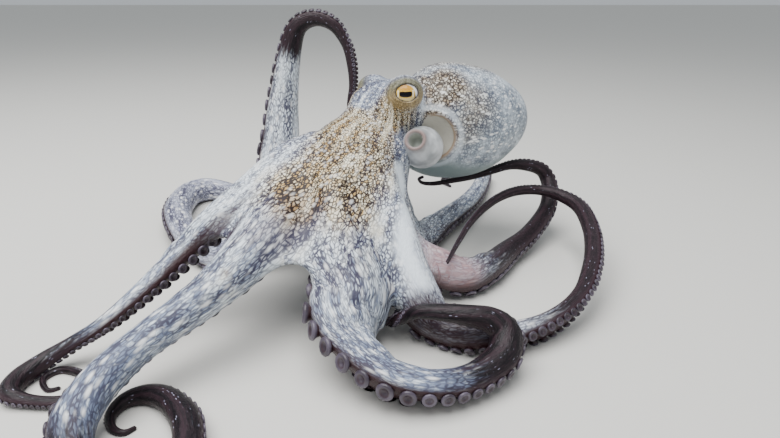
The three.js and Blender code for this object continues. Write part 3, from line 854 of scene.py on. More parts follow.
def surface_nets(values: Array, low: Array, step: float) -> tuple[Array, Array]:
    """Quads along the zero level of a grid of distances.

    Args:
        values: Distances on a regular grid, negative inside.
        low: Place of the grid's first corner.
        step: Spacing of the grid.

    Returns:
        Points, one a row, and quads as rows of four indices that face outwards.
    """
    inside = values < 0
    cells = tuple(n - 1 for n in values.shape)

    def corner(grid: Array, at: tuple[int, int, int]) -> Array:
        """The grid shifted so that each cell reads one of its corners."""
        return grid[tuple(slice(k, k + n) for k, n in zip(at, cells))]

    corners = [(i, j, k) for i in (0, 1) for j in (0, 1) for k in (0, 1)]
    held = sum(corner(inside, at).astype(np.int8) for at in corners)
    active = (held > 0) & (held < 8)
    index = np.full(cells, -1)
    index[active] = np.arange(active.sum())
    place, crossings = np.zeros((active.sum(), 3)), np.zeros(active.sum())
    quads = []
    for axis in range(3):
        along = tuple(int(k == axis) for k in range(3))
        for at in (c for c in corners if c[axis] == 0):
            there = tuple(a + b for a, b in zip(at, along))
            a, b = corner(values, at)[active], corner(values, there)[active]
            cut = (a < 0) != (b < 0)
            share = np.where(cut, a / np.where(cut, a - b, 1), 0)
            spot = np.array(at, float) + np.outer(share, along)
            place += spot * cut[:, None]
            crossings += cut
        first, second = [k for k in range(3) if k != axis]
        body = [slice(None)] * 3
        body[axis] = slice(0, values.shape[axis] - 1)
        body[first], body[second] = slice(1, -1), slice(1, -1)
        ahead = list(body)
        ahead[axis] = slice(1, None)
        here, beyond = inside[tuple(body)], inside[tuple(ahead)]
        found = np.argwhere(here != beyond)
        leaving = here[tuple(found.T)]
        around = []
        for da, db in ((0, 0), (1, 0), (1, 1), (0, 1)):
            cell = found.copy()
            cell[:, first] += da
            cell[:, second] += db
            around.append(index[tuple(cell.T)])
        quad = np.stack(around, 1)
        turned = leaving ^ (axis == 1)
        quads.append(np.where(turned[:, None], quad, quad[:, ::-1]))
    points = (np.argwhere(active) + place / np.maximum(crossings, 1)[:, None]) * step + low
    return points, np.concatenate(quads)


def settle(solid: Solid, points: Array, reach: float = 0.5, cap: float = 1.6) -> Array:
    """Move points onto the zero level of a solid along its slope.

    Args:
        solid: The form to settle on.
        points: Places near its surface, one a row.
        reach: How far apart the slope is measured.
        cap: The most that a point moves in one of the two steps.

    Returns:
        The moved points.
    """
    here = solid.distance(points)
    slope = np.stack([solid.distance(points + reach * axis) - here for axis in np.eye(3)],
                     1) / reach
    square = np.maximum((slope ** 2).sum(1), 0.15)
    for _ in range(2):
        points = points - np.clip(here / square, -cap, cap)[:, None] * slope
        here = solid.distance(points)
    return points


def field_grid(solid: Solid, step: float) -> tuple[Array, Array]:
    """Work out a solid's distances on a grid over its box.

    Args:
        solid: The form.
        step: Spacing of the grid.

    Returns:
        The distances, and the place of the grid's first corner.
    """
    room = 3 * step
    low = solid.low - room
    low[2] = -room
    counts = np.ceil((solid.high + room - low) / step).astype(int) + 1
    axes = [low[k] + step * np.arange(counts[k]) for k in range(3)]
    values = np.empty(counts)
    for i in range(counts[0]):
        sheet = np.stack(np.meshgrid(axes[0][i:i + 1], axes[1], axes[2], indexing="ij"), -1)
        values[i] = solid.distance(sheet.reshape(-1, 3)).reshape(counts[1], counts[2])
    return values, low


class Placement:
    """Turns the animal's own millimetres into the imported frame's metres."""

    def __init__(self) -> None:
        """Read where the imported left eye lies."""
        low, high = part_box("eye_left")
        middle = (np.array(low) + np.array(high)) / 2
        self.shift = middle - EYES[0].centre * METRE

    def metres(self, points: Array) -> Array:
        """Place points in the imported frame, on or above the floor.

        Args:
            points: Places in millimetres.

        Returns:
            The places in metres.
        """
        placed = np.asarray(points, float) * METRE + self.shift
        placed[..., 2] = np.maximum(placed[..., 2], 0.0)
        return placed


def linked(name: str, data: bpy.types.ID, material: Material | None = None) -> Object:
    """Show data as a new object at the origin.

    Args:
        name: Name of the object.
        data: Its mesh, which is shaded smooth, or its camera or light.
        material: Finish of all faces, or None.

    Returns:
        The object, linked to the scene.
    """
    if isinstance(data, Mesh):
        data.polygons.foreach_set("use_smooth", [True] * len(data.polygons))
        data.update()
    if material is not None:
        data.materials.append(material)
    made = bpy.data.objects.new(name, data)
    bpy.context.scene.collection.objects.link(made)
    return made


def mesh_object(name: str, points: Array, faces: Sequence[Sequence[int]],
                material: Material | None) -> Object:
    """A smooth-shaded mesh object at the origin.

    Args:
        name: Name of the object and its mesh.
        points: Vertex places in metres.
        faces: Vertex indices of each face.
        material: Finish of all faces, or None.

    Returns:
        The object, linked to the scene.
    """
    mesh = bpy.data.meshes.new(name)
    mesh.from_pydata(np.asarray(points, float).tolist(), [], [list(map(int, f)) for f in faces])
    return linked(name, mesh, material)


def ring_faces(rings: int, sides: int, tip: bool = False) -> list[tuple[int, ...]]:
    """Faces between rings of points that follow one another in a list.

    Args:
        rings: Number of rings.
        sides: Number of points in a ring.
        tip: Whether the point after the last ring closes it.

    Returns:
        Vertex indices of each face.
    """
    faces = [(a + k, a + (k + 1) % sides, a + sides + (k + 1) % sides, a + sides + k)
             for a in range(0, (rings - 1) * sides, sides) for k in range(sides)]
    last = (rings - 1) * sides
    if tip:
        faces += [(last + k, last + (k + 1) % sides, last + sides) for k in range(sides)]
    return faces


def give_attribute(mesh: Mesh, name: str, values: Array) -> None:
    """Store one number for each vertex of a mesh."""
    layer = mesh.attributes.new(name, "FLOAT", "POINT")
    layer.data.foreach_set("value", np.asarray(values, np.float32))


def give_vectors(mesh: Mesh, name: str, values: Array) -> None:
    """Store one vector for each vertex of a mesh."""
    layer = mesh.attributes.new(name, "FLOAT_VECTOR", "POINT")
    layer.data.foreach_set("vector", np.asarray(values, np.float32).ravel())


# ---- skin ----


@dataclass(frozen=True)
class Skin:
    """The one skin that stands for all the flesh, and how finely it is meshed."""

    body: Body
    sides: int = 24  # points round a free arm
    ring_share: float = 0.17  # spacing of the rings, as a share of the arm's width
    ring_limits: Row = (1.9, 5.0)
    tip_stop: float = 1.2  # distance before the end where the last ring lies
    fine_eye: float = 25.0  # radius round an eye that is meshed twice as finely
    finest_eye: float = 15.5  # radius round the lids' opening, finer again
    finest_flat: float = 1.2  # how much lower than wide that place is
    fine_rim: float = 7.0  # distance from the rim of the mantle's opening
    cut_reach: float = 1.1  # reach of an arm's cut from its middle, in widths of the arm,
    cut_room: float = 30.0  # and in millimetres more
    cut_width: float = 0.85  # how far out a point still counts as the arm's, in widths
    cut_before: float = 25.0  # how far before the join the arm's own points start
    cut_after: float = 20.0  # how far past the end of its flesh they go on

    def build(self, placement: Placement, material: Material) -> Object:
        """Mesh the skin, join the free arms to it and store what the finish reads.

        Args:
            placement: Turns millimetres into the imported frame.
            material: Finish of the skin.

        Returns:
            The skin object.
        """
        bm = self._body_mesh()
        walked = bm.verts.layers.float.new("walked")
        turned = bm.verts.layers.float.new("turned")
        owner = bm.verts.layers.int.new("owner")
        loops = [self._cut(bm, limb) for limb in self.body.limbs.values()]
        for number, (limb, loop) in enumerate(zip(self.body.limbs.values(), loops), 1):
            ring = self._free_arm(bm, limb, number, (walked, turned, owner))
            self._stitch(bm, limb, loop, ring)
        bmesh.ops.recalc_face_normals(bm, faces=bm.faces)
        open_edges = sum(1 for edge in bm.edges if not edge.is_manifold)
        log.info("skin: %d vertices, %d faces, %d open edges", len(bm.verts), len(bm.faces),
                 open_edges)
        mesh = bpy.data.meshes.new("skin")
        bm.to_mesh(mesh)
        bm.free()
        points = np.array([vert.co for vert in mesh.vertices], float)
        Markings(self.body).store(mesh, points)
        mesh.vertices.foreach_set("co", placement.metres(points).ravel())
        return linked("skin", mesh, material)

    def _body_mesh(self) -> BMesh:
        """Mesh the melted body, finer round the eyes and the mantle's opening.

        Returns:
            The body, with its vertices on the surface.
        """
        values, low = field_grid(self.body, CELL)
        points, quads = surface_nets(values, low, CELL)
        bm = bmesh.new()
        verts = [bm.verts.new(p) for p in points]
        for quad in quads:
            bm.faces.new([verts[k] for k in quad])
        self._refine(bm, again=False)
        self._refine(bm, again=True)
        points = settle(self.body, np.array([v.co for v in bm.verts], float))
        for vert, point in zip(bm.verts, points):
            vert.co = point
        return bm

    def _refine(self, bm: BMesh, again: bool) -> None:
        """Halve the faces near an eye or near the rim of the mantle's opening.

        Args:
            bm: The mesh.
            again: Halve only those close to the opening between the lids.
        """
        faces = list(bm.faces)
        points = np.array([f.calc_center_median() for f in faces])
        wanted = np.abs(self.body.opening.distance(points)) < self.fine_rim
        wanted &= (self.body.mantle.distance(points) > -self.fine_rim) & (not again)
        for eye in EYES:
            x, y, z = eye.local(points)
            if again:
                wanted |= (np.hypot(x, y * self.finest_flat) < self.finest_eye) & (z > 2)
            else:
                wanted |= np.linalg.norm((x, y, z), axis=0) < self.fine_eye
        edges = {edge for face, take in zip(faces, wanted) if take for edge in face.edges}
        bmesh.ops.subdivide_edges(bm, edges=list(edges), cuts=1, use_grid_fill=True)

    def _cut(self, bm: BMesh, limb: Limb) -> list[BMVert]:
        """Cut one arm square where its free length begins.

        Args:
            bm: The body mesh.
            limb: The arm to cut.

        Returns:
            The vertices round the cut, in order.
        """
        join = limb.plan.join
        spot, _, _, along, wide, _ = (part[0] for part in limb.frame(np.array([join])))
        size = 2 * wide
        verts = list(bm.verts)
        points = np.array([v.co for v in verts])
        close = np.linalg.norm(points - spot, axis=1) < size * self.cut_reach + self.cut_room
        place = limb.locate(points[close], join + Body.CUT_PAST_JOIN + self.cut_after)
        mine = np.hypot(place["across"], place["deep"]) < size * self.cut_width
        mine &= place["at"] > join - self.cut_before
        near = {v for v, take in zip([v for v, c in zip(verts, close) if c], mine) if take}
        faces = [f for f in bm.faces if all(v in near for v in f.verts)]
        edges = {e for f in faces for e in f.edges}
        used = {v for f in faces for v in f.verts}
        cut = bmesh.ops.bisect_plane(bm, geom=[*faces, *edges, *used], plane_co=Vector(spot),
                                     plane_no=Vector(along), dist=1e-4)["geom_cut"]
        ring_edges = [g for g in cut if isinstance(g, BMEdge)]
        start = ring_edges[0]
        beyond, stack = set(), []
        ring = {v for e in ring_edges for v in e.verts}
        for vert in ring:
            stack += [e.other_vert(vert) for e in vert.link_edges
                      if (e.other_vert(vert).co - Vector(spot)).dot(Vector(along)) > 1e-3]
        while stack:
            vert = stack.pop()
            if vert in beyond or vert in ring:
                continue
            beyond.add(vert)
            stack += [e.other_vert(vert) for e in vert.link_edges]
        bmesh.ops.delete(bm, geom=list(beyond), context="VERTS")
        loop, here = [start.verts[0]], start.verts[1]
        while here is not loop[0]:
            previous = loop[-1]
            loop.append(here)
            here = next(e.other_vert(here) for e in here.link_edges
                        if e.is_boundary and e.other_vert(here) is not previous)
        return loop

    def _free_arm(self, bm: BMesh, limb: Limb, number: int, layers: tuple) -> list[BMVert]:
        """Sweep the free length of an arm and close its tip.

        Args:
            bm: The mesh to add to.
            limb: The arm.
            number: The arm's number, from 1.
            layers: Vertex layers for the distance walked, the turn and the arm's number.

        Returns:
            The first ring of vertices.
        """
        turn = (np.arange(self.sides) / self.sides * 2 - 1) * np.pi
        at = limb.plan.join
        stations = []
        while at < limb.length - self.tip_stop:
            width = float(limb.sample(limb.width, np.array([at]))[0])
            at += float(np.clip(width * self.ring_share, *self.ring_limits))
            stations.append(min(at, limb.length - self.tip_stop))
        places = [(point, station, angle) for station in stations
                  for point, angle in zip(limb.ring(station, turn), turn)]
        verts = []
        for point, station, angle in [*places, (limb.points[-1], limb.length, 0.0)]:
            vert = bm.verts.new(point)
            vert[layers[0]], vert[layers[1]], vert[layers[2]] = station, angle, number
            verts.append(vert)
        for face in ring_faces(len(stations), self.sides, tip=True):
            bm.faces.new([verts[k] for k in face])
        return verts[:self.sides]

    @staticmethod
    def _stitch(bm: BMesh, limb: Limb, loop: list[BMVert], ring: list[BMVert]) -> None:
        """Join the cut's loop to an arm's first ring with a strip of triangles.

        Args:
            bm: The mesh to add to.
            limb: The arm.
            loop: The vertices round the cut.
            ring: The arm's first ring.
        """

        def ordered(verts: list[BMVert]) -> tuple[list, Array]:
            """Turn a loop so that its angles in the section's plane climb.

            Args:
                verts: The loop.

            Returns:
                The loop from its lowest angle on, and its angles.
            """
            place = limb.locate(np.array([v.co for v in verts]))
            turn = np.arctan2(place["deep"] / place["high"], place["across"] / place["wide"])
            if np.sum((np.diff(np.r_[turn, turn[0]]) + np.pi) % (2 * np.pi) - np.pi) < 0:
                verts, turn = verts[::-1], turn[::-1]
            first = int(np.argmin(turn))
            return verts[first:] + verts[:first], np.r_[turn[first:], turn[:first]]

        (a, turn_a), (b, turn_b) = ordered(loop), ordered(ring)
        turn_a, turn_b = np.r_[turn_a, turn_a[0] + 2 * np.pi], np.r_[turn_b, turn_b[0] + 2 * np.pi]
        i = j = 0
        while i < len(a) or j < len(b):
            if j >= len(b) or (i < len(a) and turn_a[i + 1] <= turn_b[j + 1]):
                bm.faces.new((a[i % len(a)], a[(i + 1) % len(a)], b[j % len(b)]))
                i += 1
            else:
                bm.faces.new((a[i % len(a)], b[(j + 1) % len(b)], b[j % len(b)]))
                j += 1


# ---- markings ----


class Tint(Enum):
    """Regions of colour; each value is the name of the vertex attribute that holds one."""

    GOLD = "gold"  # warm netted cells over head and crown
    PALE = "pale"  # smooth white-blue edge of the web
    MAUVE = "mauve"  # brown-violet clouds
    PINK = "pink"  # flushed bases of the right arms
    TEAL = "teal"  # smooth underside of the mantle, painted darker teal-grey as shade
    RUST = "rust"  # browner net at the front of the mantle
    DASH = "dash"  # raised white dashes on the mantle's side
    COOL = "cool"  # blue-grey where the gold gives way
    FLESH = "flesh"  # brown inner sides of the front arms


@dataclass(frozen=True)
class Patch:
    """A soft region of colour round a line of points."""

    tint: Tint
    way: tuple[Row, ...]
    radius: float
    fade: float
    strength: float = 1.0

    def cover(self, points: Array) -> Array:
        """Work out where the colour lies.

        Args:
            points: Places, one a row.

        Returns:
            Its share at each point, from 0 to 1.
        """
        way = np.array(self.way, float)
        if len(way) > 1:
            way = catmull_rom(way, np.linspace(0, len(way) - 1, 12 * len(way)))
        gap = np.linalg.norm(points - way[nearest(points, way)], axis=1)
        return self.strength * (1 - ramp(gap, self.radius - self.fade, self.radius + self.fade))


PATCHES = (
    Patch(Tint.GOLD, ((-8, -12, 147), (-20, -45, 127), (-44, -66, 108)), 30, 22),
    Patch(Tint.GOLD, ((21, -20, 139), (10, -60, 118), (-5, -84, 104)), 24, 20, 0.75),
    Patch(Tint.GOLD, ((12, 30, 172), (35, 5, 150)), 22, 14, 0.8),
    Patch(Tint.GOLD, ((-30, -90, 95), (5, -105, 85)), 34, 30, 0.28),
    Patch(Tint.PALE, ((37, -24, 112), (41, -30, 100), (42, -62, 86)), 6, 5),
    Patch(Tint.PALE, ((42, -62, 86), (43, -94, 67), (56, -112, 48)), 7, 6),
    Patch(Tint.MAUVE, ((-40, -88, 98), (-62, -112, 88)), 22, 18, 0.9),
    Patch(Tint.MAUVE, ((-14, -138, 55), (-10, -128, 62)), 9, 7, 0.6),
    Patch(Tint.MAUVE, ((-1, -110, 83), (-6, -100, 92)), 8, 7, 0.5),
    Patch(Tint.PINK, ((70, -52, 32), (90, -56, 22)), 24, 16),
    Patch(Tint.FLESH, ((56, -124, 26), (78, -140, 18), (104, -148, 12)), 17, 8),
    Patch(Tint.FLESH, ((96, -62, 6), (120, -44, 4)), 14, 8, 0.8),
    Patch(Tint.PINK, ((62, -72, 52), (78, -96, 26), (88, -112, 12)), 8, 6, 0.8),
    # painted shade: the mantle's underside turns darker teal-grey and loses its net
    Patch(Tint.TEAL, ((60, 24, 92), (100, 52, 78), (150, 100, 98)), 26, 9),
    Patch(Tint.RUST, ((52, 36, 172), (66, 28, 166), (80, 36, 172)), 24, 20, 0.9),
    Patch(Tint.RUST, ((66, 18, 160), (50, 24, 163)), 10, 9),
    Patch(Tint.DASH, ((98, 24, 128), (125, 32, 128), (150, 56, 132)), 26, 9),
    Patch(Tint.DASH, ((90, 30, 160), (120, 46, 160), (150, 70, 150)), 24, 12, 0.7),
    Patch(Tint.RUST, ((92, 34, 164), (112, 40, 154), (96, 26, 140)), 22, 20, 0.55),
    Patch(Tint.GOLD, ((-14, 40, 150), (-40, 22, 124), (-52, 48, 116)), 26, 22, 0.8),
    Patch(Tint.RUST, ((76, 84, 188), (112, 100, 184), (84, 110, 160)), 30, 26, 0.6),
    Patch(Tint.COOL, ((17, 60, 165), (8, 52, 150)), 23, 8, 0.8),
    Patch(Tint.COOL, ((9, 16, 168), (19, 28, 178)), 12, 6, 0.8),
    Patch(Tint.COOL, ((60, 4, 140), (46, 0, 138), (42, -14, 122)), 9, 7, 0.7),
)


@dataclass(frozen=True)
class ArmCoat:
    """Where along an arm its light coat gives way to the dark one, as shares of its length."""

    dusk: Row
    depth: float = 1.0
    shade: float = 1.0  # how much the light coat dims outward
    lilac: float = 0.0  # share of lilac-grey in the light coat
    flank: float = 0.0  # how far the dark flesh round the suckers climbs the sides


COATS = {
    "arm_left_1": ArmCoat((0.40, 0.64), 0.85, 1.6, flank=0.35),
    "arm_left_2": ArmCoat((0.46, 0.62), 0.9, 2.6),
    "arm_left_3": ArmCoat((0.36, 0.56), 1.0, 2.8),
    "arm_left_4": ArmCoat((0.20, 0.46), 0.95, 1.0, 0.5, 0.25),
    "arm_right_4": ArmCoat((0.08, 0.46), 0.95, 1.0, 0.4, 0.2),
    "arm_right_3": ArmCoat((0.50, 0.95), 0.8, 1.5),
    "arm_right_2": ArmCoat((0.48, 0.58), 1.0, -0.7),
    "arm_right_1": ArmCoat((0.75, 1.00), 0.6, 1.2, 1.0),
}


class Markings:
    """Numbers and pattern coordinates on each vertex that the skin's finish reads."""

    STRETCH = 3.0  # length of the arms' cells over their width
    FLOW_POWER = 0.50  # how fast the body's pattern runs out from the crown
    FLOW_SCALE = 10.5
    CROWN = (42, 46, 120)  # where the body's pattern runs out from
    BAND_RADIUS = 110.0
    BAND_STRETCH = (4.0, 7.0)  # length of the pale and dark bands, on the body and the arms
    LIP, LID = (1.2, 5.0), (1.6, 2.3)
    LID_ROOM, LID_HEIGHT = 26.0, 16.0  # reach round the eye's centre, and half the lids' height

    def __init__(self, body: Body):
        """Keep the body that the markings follow."""
        self.body, self.limbs = body, list(body.limbs.values())

    def store(self, mesh: Mesh, points: Array) -> None:
        """Work out and store every marking.

        Args:
            mesh: The skin's mesh, with its layers from the sweep.
            points: Its vertices in millimetres.
        """
        self._arms(mesh, points)
        for tint in Tint:
            covers = [patch.cover(points) for patch in PATCHES if patch.tint is tint]
            give_attribute(mesh, tint.value, np.max(covers, axis=0))
        self._mantle(mesh, points)
        self._lids(mesh, points)
        offset = points - np.array(self.CROWN, float)
        reach = np.maximum(np.linalg.norm(offset, axis=1), 4.0)
        flow = offset / reach[:, None] * (self.FLOW_SCALE * reach ** self.FLOW_POWER)[:, None]
        give_vectors(mesh, "drift", flow)
        around = offset[:, :2] / np.maximum(np.linalg.norm(offset[:, :2], axis=1), 4.0)[:, None]
        give_vectors(mesh, "body_band", np.column_stack([around * self.BAND_RADIUS,
                                                         reach / self.BAND_STRETCH[0]]))

    def _arms(self, mesh: Mesh, points: Array) -> None:
        """Store the markings that follow the arms.

        Args:
            mesh: The skin's mesh, with its layers from the sweep.
            points: Its vertices.
        """
        count = len(points)
        walked, turned = np.empty(count), np.empty(count)
        owner = np.empty(count, int)
        for name, table in (("walked", walked), ("turned", turned), ("owner", owner)):
            mesh.attributes[name].data.foreach_get("value", table)
        free = owner > 0
        rest = ~free
        gap = np.full((count, len(self.limbs)), FAR)
        at_all, turn_all = np.zeros_like(gap), np.zeros_like(gap)
        for k, limb in enumerate(self.limbs):
            place = limb.locate(points[rest], limb.plan.join + 30)
            across, deep = place["across"] / place["wide"], place["deep"] / place["high"]
            gap[rest, k] = (np.hypot(across, deep) - 1) * np.minimum(place["wide"],
                                                                     place["high"])
            at_all[rest, k] = place["at"]
            turn_all[rest, k] = np.arctan2(across, -deep)
        order = np.sort(gap, 1)
        lead, rows = gap.argmin(1), np.arange(count)
        walked[rest], turned[rest] = at_all[rows, lead][rest], turn_all[rows, lead][rest]
        owner[rest] = lead[rest] + 1
        share = ramp(order[:, 1] - order[:, 0], 1.0, 9.0)
        share *= ramp(walked, 30.0, 150.0) * (1 - ramp(order[:, 0], 5.0, 13.0))
        share[free] = 1.0
        radius, dusk, dim, lilac, reach, flank = (np.zeros(count) for _ in range(6))
        for k, limb in enumerate(self.limbs):
            mine = owner == k + 1
            coat = COATS[limb.plan.name]
            radius[mine] = limb.sample(limb.width, walked[mine]) / 2
            reach[mine] = walked[mine] / limb.length
            dusk[mine] = ramp(reach[mine], *coat.dusk) * coat.depth
            dim[mine] = ramp(reach[mine], 0.10, 0.50) * coat.shade
            lilac[mine], flank[mine] = coat.lilac, coat.flank
        oral = ramp(flank - np.cos(turned), -0.12, 0.30) * np.where(free, 1.0, share)
        for name, values in (("arm", share), ("sole", oral), ("across", np.sin(turned)),
                             ("dusk", dusk * share), ("dim", dim), ("lilac", lilac * share)):
            give_attribute(mesh, name, values)
        radius = np.maximum(radius, 2.0)
        for name, stretch in (("along", self.STRETCH), ("arm_band", self.BAND_STRETCH[1])):
            give_vectors(mesh, name, np.stack([
                radius * np.cos(turned) + 90.0 * owner, radius * np.sin(turned),
                walked / stretch], 1))

    def _mantle(self, mesh: Mesh, points: Array) -> None:
        """Store where the mantle, its opening and the rim of that lie.

        Args:
            mesh: The skin's mesh.
            points: Its vertices.
        """
        skin, cut = self.body.mantle.distance(points), self.body.opening.distance(points)
        close = np.abs(cut) < 14
        near = 1 - ramp(np.abs(skin), 6.0, 14.0)
        give_attribute(mesh, "mantle", 1 - ramp(skin, 1.0, 7.0))
        give_attribute(mesh, "lining", (1 - ramp(cut, 0.2, 1.2)) * (1 - ramp(skin, -1.2, 0.4)))
        give_attribute(mesh, "brim", close * (1 - ramp(np.hypot(cut - 0.3, skin + 1.5), 0.8, 2.6)))
        give_attribute(mesh, "lip", close * near * ramp(cut, self.LIP[0], 2.4)
                       * (1 - ramp(cut, self.LIP[1], self.LIP[1] + 4)))

    def _lids(self, mesh: Mesh, points: Array) -> None:
        """Store the lids' cover, the distance out from their opening, and the height on them.

        Args:
            mesh: The skin's mesh.
            points: Its vertices.
        """
        cover, out_from, high = np.zeros(len(points)), np.full(len(points), 20.0), 0.0
        for eye in EYES:
            x, y, z = eye.local(points)
            ring = np.hypot(x / eye.opening[0], y / eye.opening[1])
            front = ramp(z, -4, 4) * (1 - ramp(z, self.LID_ROOM - 4, self.LID_ROOM))
            near = np.linalg.norm((x, y, z), axis=0) < self.LID_ROOM
            cover = np.maximum(cover, (1 - ramp(ring, *self.LID)) * front)
            out_from = np.where(near, (ring - 1) * eye.opening[0], out_from)
            high = np.where(near, y / self.LID_HEIGHT, high)
        for name, values in (("lid", cover), ("fold", out_from), ("lid_high", high)):
            give_attribute(mesh, name, values)


def tone(red: int, green: int, blue: int) -> Row:
    """A colour given as it looks on a screen, 0 to 255, as the linear triple a shader reads."""
    shares = (channel / 255 for channel in (red, green, blue))
    return tuple(s / 12.92 if s <= 0.04045 else ((s + 0.055) / 1.055) ** 2.4 for s in shares)


@dataclass(frozen=True)
class Palette:
    """Colours of the animal."""

    cream: Row = tone(252, 243, 218)
    gold: Row = tone(204, 166, 100)
    umber: Row = tone(38, 25, 18)
    white: Row = tone(254, 254, 254)
    ice: Row = tone(238, 247, 255)
    steel: Row = tone(124, 136, 162)
    slate: Row = tone(62, 60, 80)
    mauve: Row = tone(150, 124, 124)
    lilac: Row = tone(170, 168, 190)
    # painted shade of the mantle's underside
    teal: Row = tone(140, 156, 156)
    pink: Row = tone(188, 150, 152)
    maroon: Row = tone(54, 32, 36)
    plum: Row = tone(56, 39, 46)
    ink: Row = tone(17, 11, 16)
    olive: Row = tone(120, 116, 80)
    brass: Row = tone(184, 158, 104)
    amber: Row = tone(218, 168, 52)
    rust: Row = tone(150, 106, 62)
    bone: Row = tone(196, 192, 180)


COLOURS = Palette()


# ---- finishes ----


class Graph:
    """A node tree, with one way to add a node."""

    FIRST, SECOND, MIXED = 6, 7, 2  # a Mix node's sockets for colours

    def __init__(self, name: str, tree: NodeTree | None = None):
        """Start an empty material, or work on the tree given.

        Args:
            name: Name of the material.
            tree: A tree of another kind, to work on instead.
        """
        if tree is None:
            self.material = bpy.data.materials.new(name)
            self.material.use_nodes = True
            tree = self.material.node_tree
            tree.nodes.clear()
        self.tree = tree

    def node(self, kind: str, settings: dict | None = None,
             inputs: dict | None = None) -> Node:
        """Add a node.

        Args:
            kind: The node's type.
            settings: Properties, set first.
            inputs: Values or links by socket name or number.

        Returns:
            The new node.
        """
        made = self.tree.nodes.new(kind)
        for key, value in (settings or {}).items():
            setattr(made, key, value)
        for key, value in (inputs or {}).items():
            value = value.socket if isinstance(value, Value) else value
            if isinstance(value, NodeSocket):
                self.tree.links.new(value, made.inputs[key])
            else:
                made.inputs[key].default_value = value
        return made

    def value(self, node: Node, output: str | int = 0) -> "Value":
        """One of a node's outputs, ready for arithmetic."""
        return Value(self, node.outputs[output])

    def attribute(self, name: str) -> "Value":
        """A number stored on the mesh."""
        return self.value(self.node("ShaderNodeAttribute", {"attribute_name": name}), "Fac")

    def mix(self, share: "Value | float", first: object, second: object,
            blend: str = "MIX") -> NodeSocket:
        """Mix two colours, each a link or a triple of numbers.

        Args:
            share: How much of the second colour shows.
            first: The colour at 0.
            second: The colour at 1.
            blend: Blend mode.

        Returns:
            A link to the mixed colour.
        """
        pair = [c if isinstance(c, NodeSocket) else (*c, 1.0) for c in (first, second)]
        made = self.node("ShaderNodeMix",
                         {"data_type": "RGBA", "blend_type": blend, "clamp_factor": True},
                         {0: share, self.FIRST: pair[0], self.SECOND: pair[1]})
        return made.outputs[self.MIXED]

    def vector(self, operation: str, first: object, second: object) -> NodeSocket:
        """Vector arithmetic on links or triples of numbers."""
        return self.node("ShaderNodeVectorMath", {"operation": operation},
                         {0: first, 1: second}).outputs[0]

    def noise(self, place: NodeSocket, scale: float, detail: float = 2.0,
              roughness: float = 0.5) -> "Value":
        """Smooth noise from 0 to 1."""
        return self.value(self.node("ShaderNodeTexNoise", {}, {
            "Vector": place, "Scale": scale, "Detail": detail, "Roughness": roughness}), "Fac")

    def cells(self, place: NodeSocket, scale: float, feature: str = "F1",
              jitter: float = 1.0) -> Node:
        """Voronoi cells."""
        return self.node("ShaderNodeTexVoronoi", {"feature": feature},
                         {"Vector": place, "Scale": scale, "Randomness": jitter})

    def finish(self, inputs: dict) -> Material:
        """Close the material with a principled surface.

        Args:
            inputs: Values or links of the surface's sockets.

        Returns:
            The material.
        """
        surface = self.node("ShaderNodeBsdfPrincipled", {}, inputs)
        self.node("ShaderNodeOutputMaterial", {}, {"Surface": surface.outputs[0]})
        return self.material


class Value:
    """A number socket that takes part in Python expressions."""

    def __init__(self, graph: Graph, socket: NodeSocket):
        """Wrap a socket of a graph."""
        self.graph, self.socket = graph, socket

    def _math(self, operation: str, *terms: "Value | float") -> "Value":
        """A Math node on some terms."""
        node = self.graph.node("ShaderNodeMath", {"operation": operation}, dict(enumerate(terms)))
        return self.graph.value(node)

    def __add__(self, other: "Value | float") -> "Value":
        """Sum."""
        return self._math("ADD", self, other)

    __radd__ = __add__

    def __sub__(self, other: "Value | float") -> "Value":
        """Difference."""
        return self._math("SUBTRACT", self, other)

    def __rsub__(self, other: float) -> "Value":
        """Difference from a number."""
        return self._math("SUBTRACT", other, self)

    def __mul__(self, other: "Value | float") -> "Value":
        """Product."""
        return self._math("MULTIPLY", self, other)

    __rmul__ = __mul__

    def __truediv__(self, other: "Value | float") -> "Value":
        """Quotient."""
        return self._math("DIVIDE", self, other)

    def __pow__(self, other: float) -> "Value":
        """Power."""
        return self._math("POWER", self, other)

    def least(self, other: "Value | float") -> "Value":
        """The smaller of two."""
        return self._math("MINIMUM", self, other)

    def most(self, other: "Value | float") -> "Value":
        """The larger of two."""
        return self._math("MAXIMUM", self, other)

    def size(self) -> "Value":
        """The number without its sign."""
        return self._math("ABSOLUTE", self)

    def sine(self) -> "Value":
        """Sine of the number in radians."""
        return self._math("SINE", self)

    def step(self, low: float, high: float) -> "Value":
        """Smooth step, falling where low is above high.

        Args:
            low: Where the step is 0.
            high: Where it is 1.

        Returns:
            The step.
        """
        return self.graph.value(self.graph.node(
            "ShaderNodeMapRange", {"interpolation_type": "SMOOTHSTEP"}, {
                "Value": self, "From Min": min(low, high), "From Max": max(low, high),
                "To Min": float(low >= high), "To Max": float(low < high)}))


# ---- suckers ----


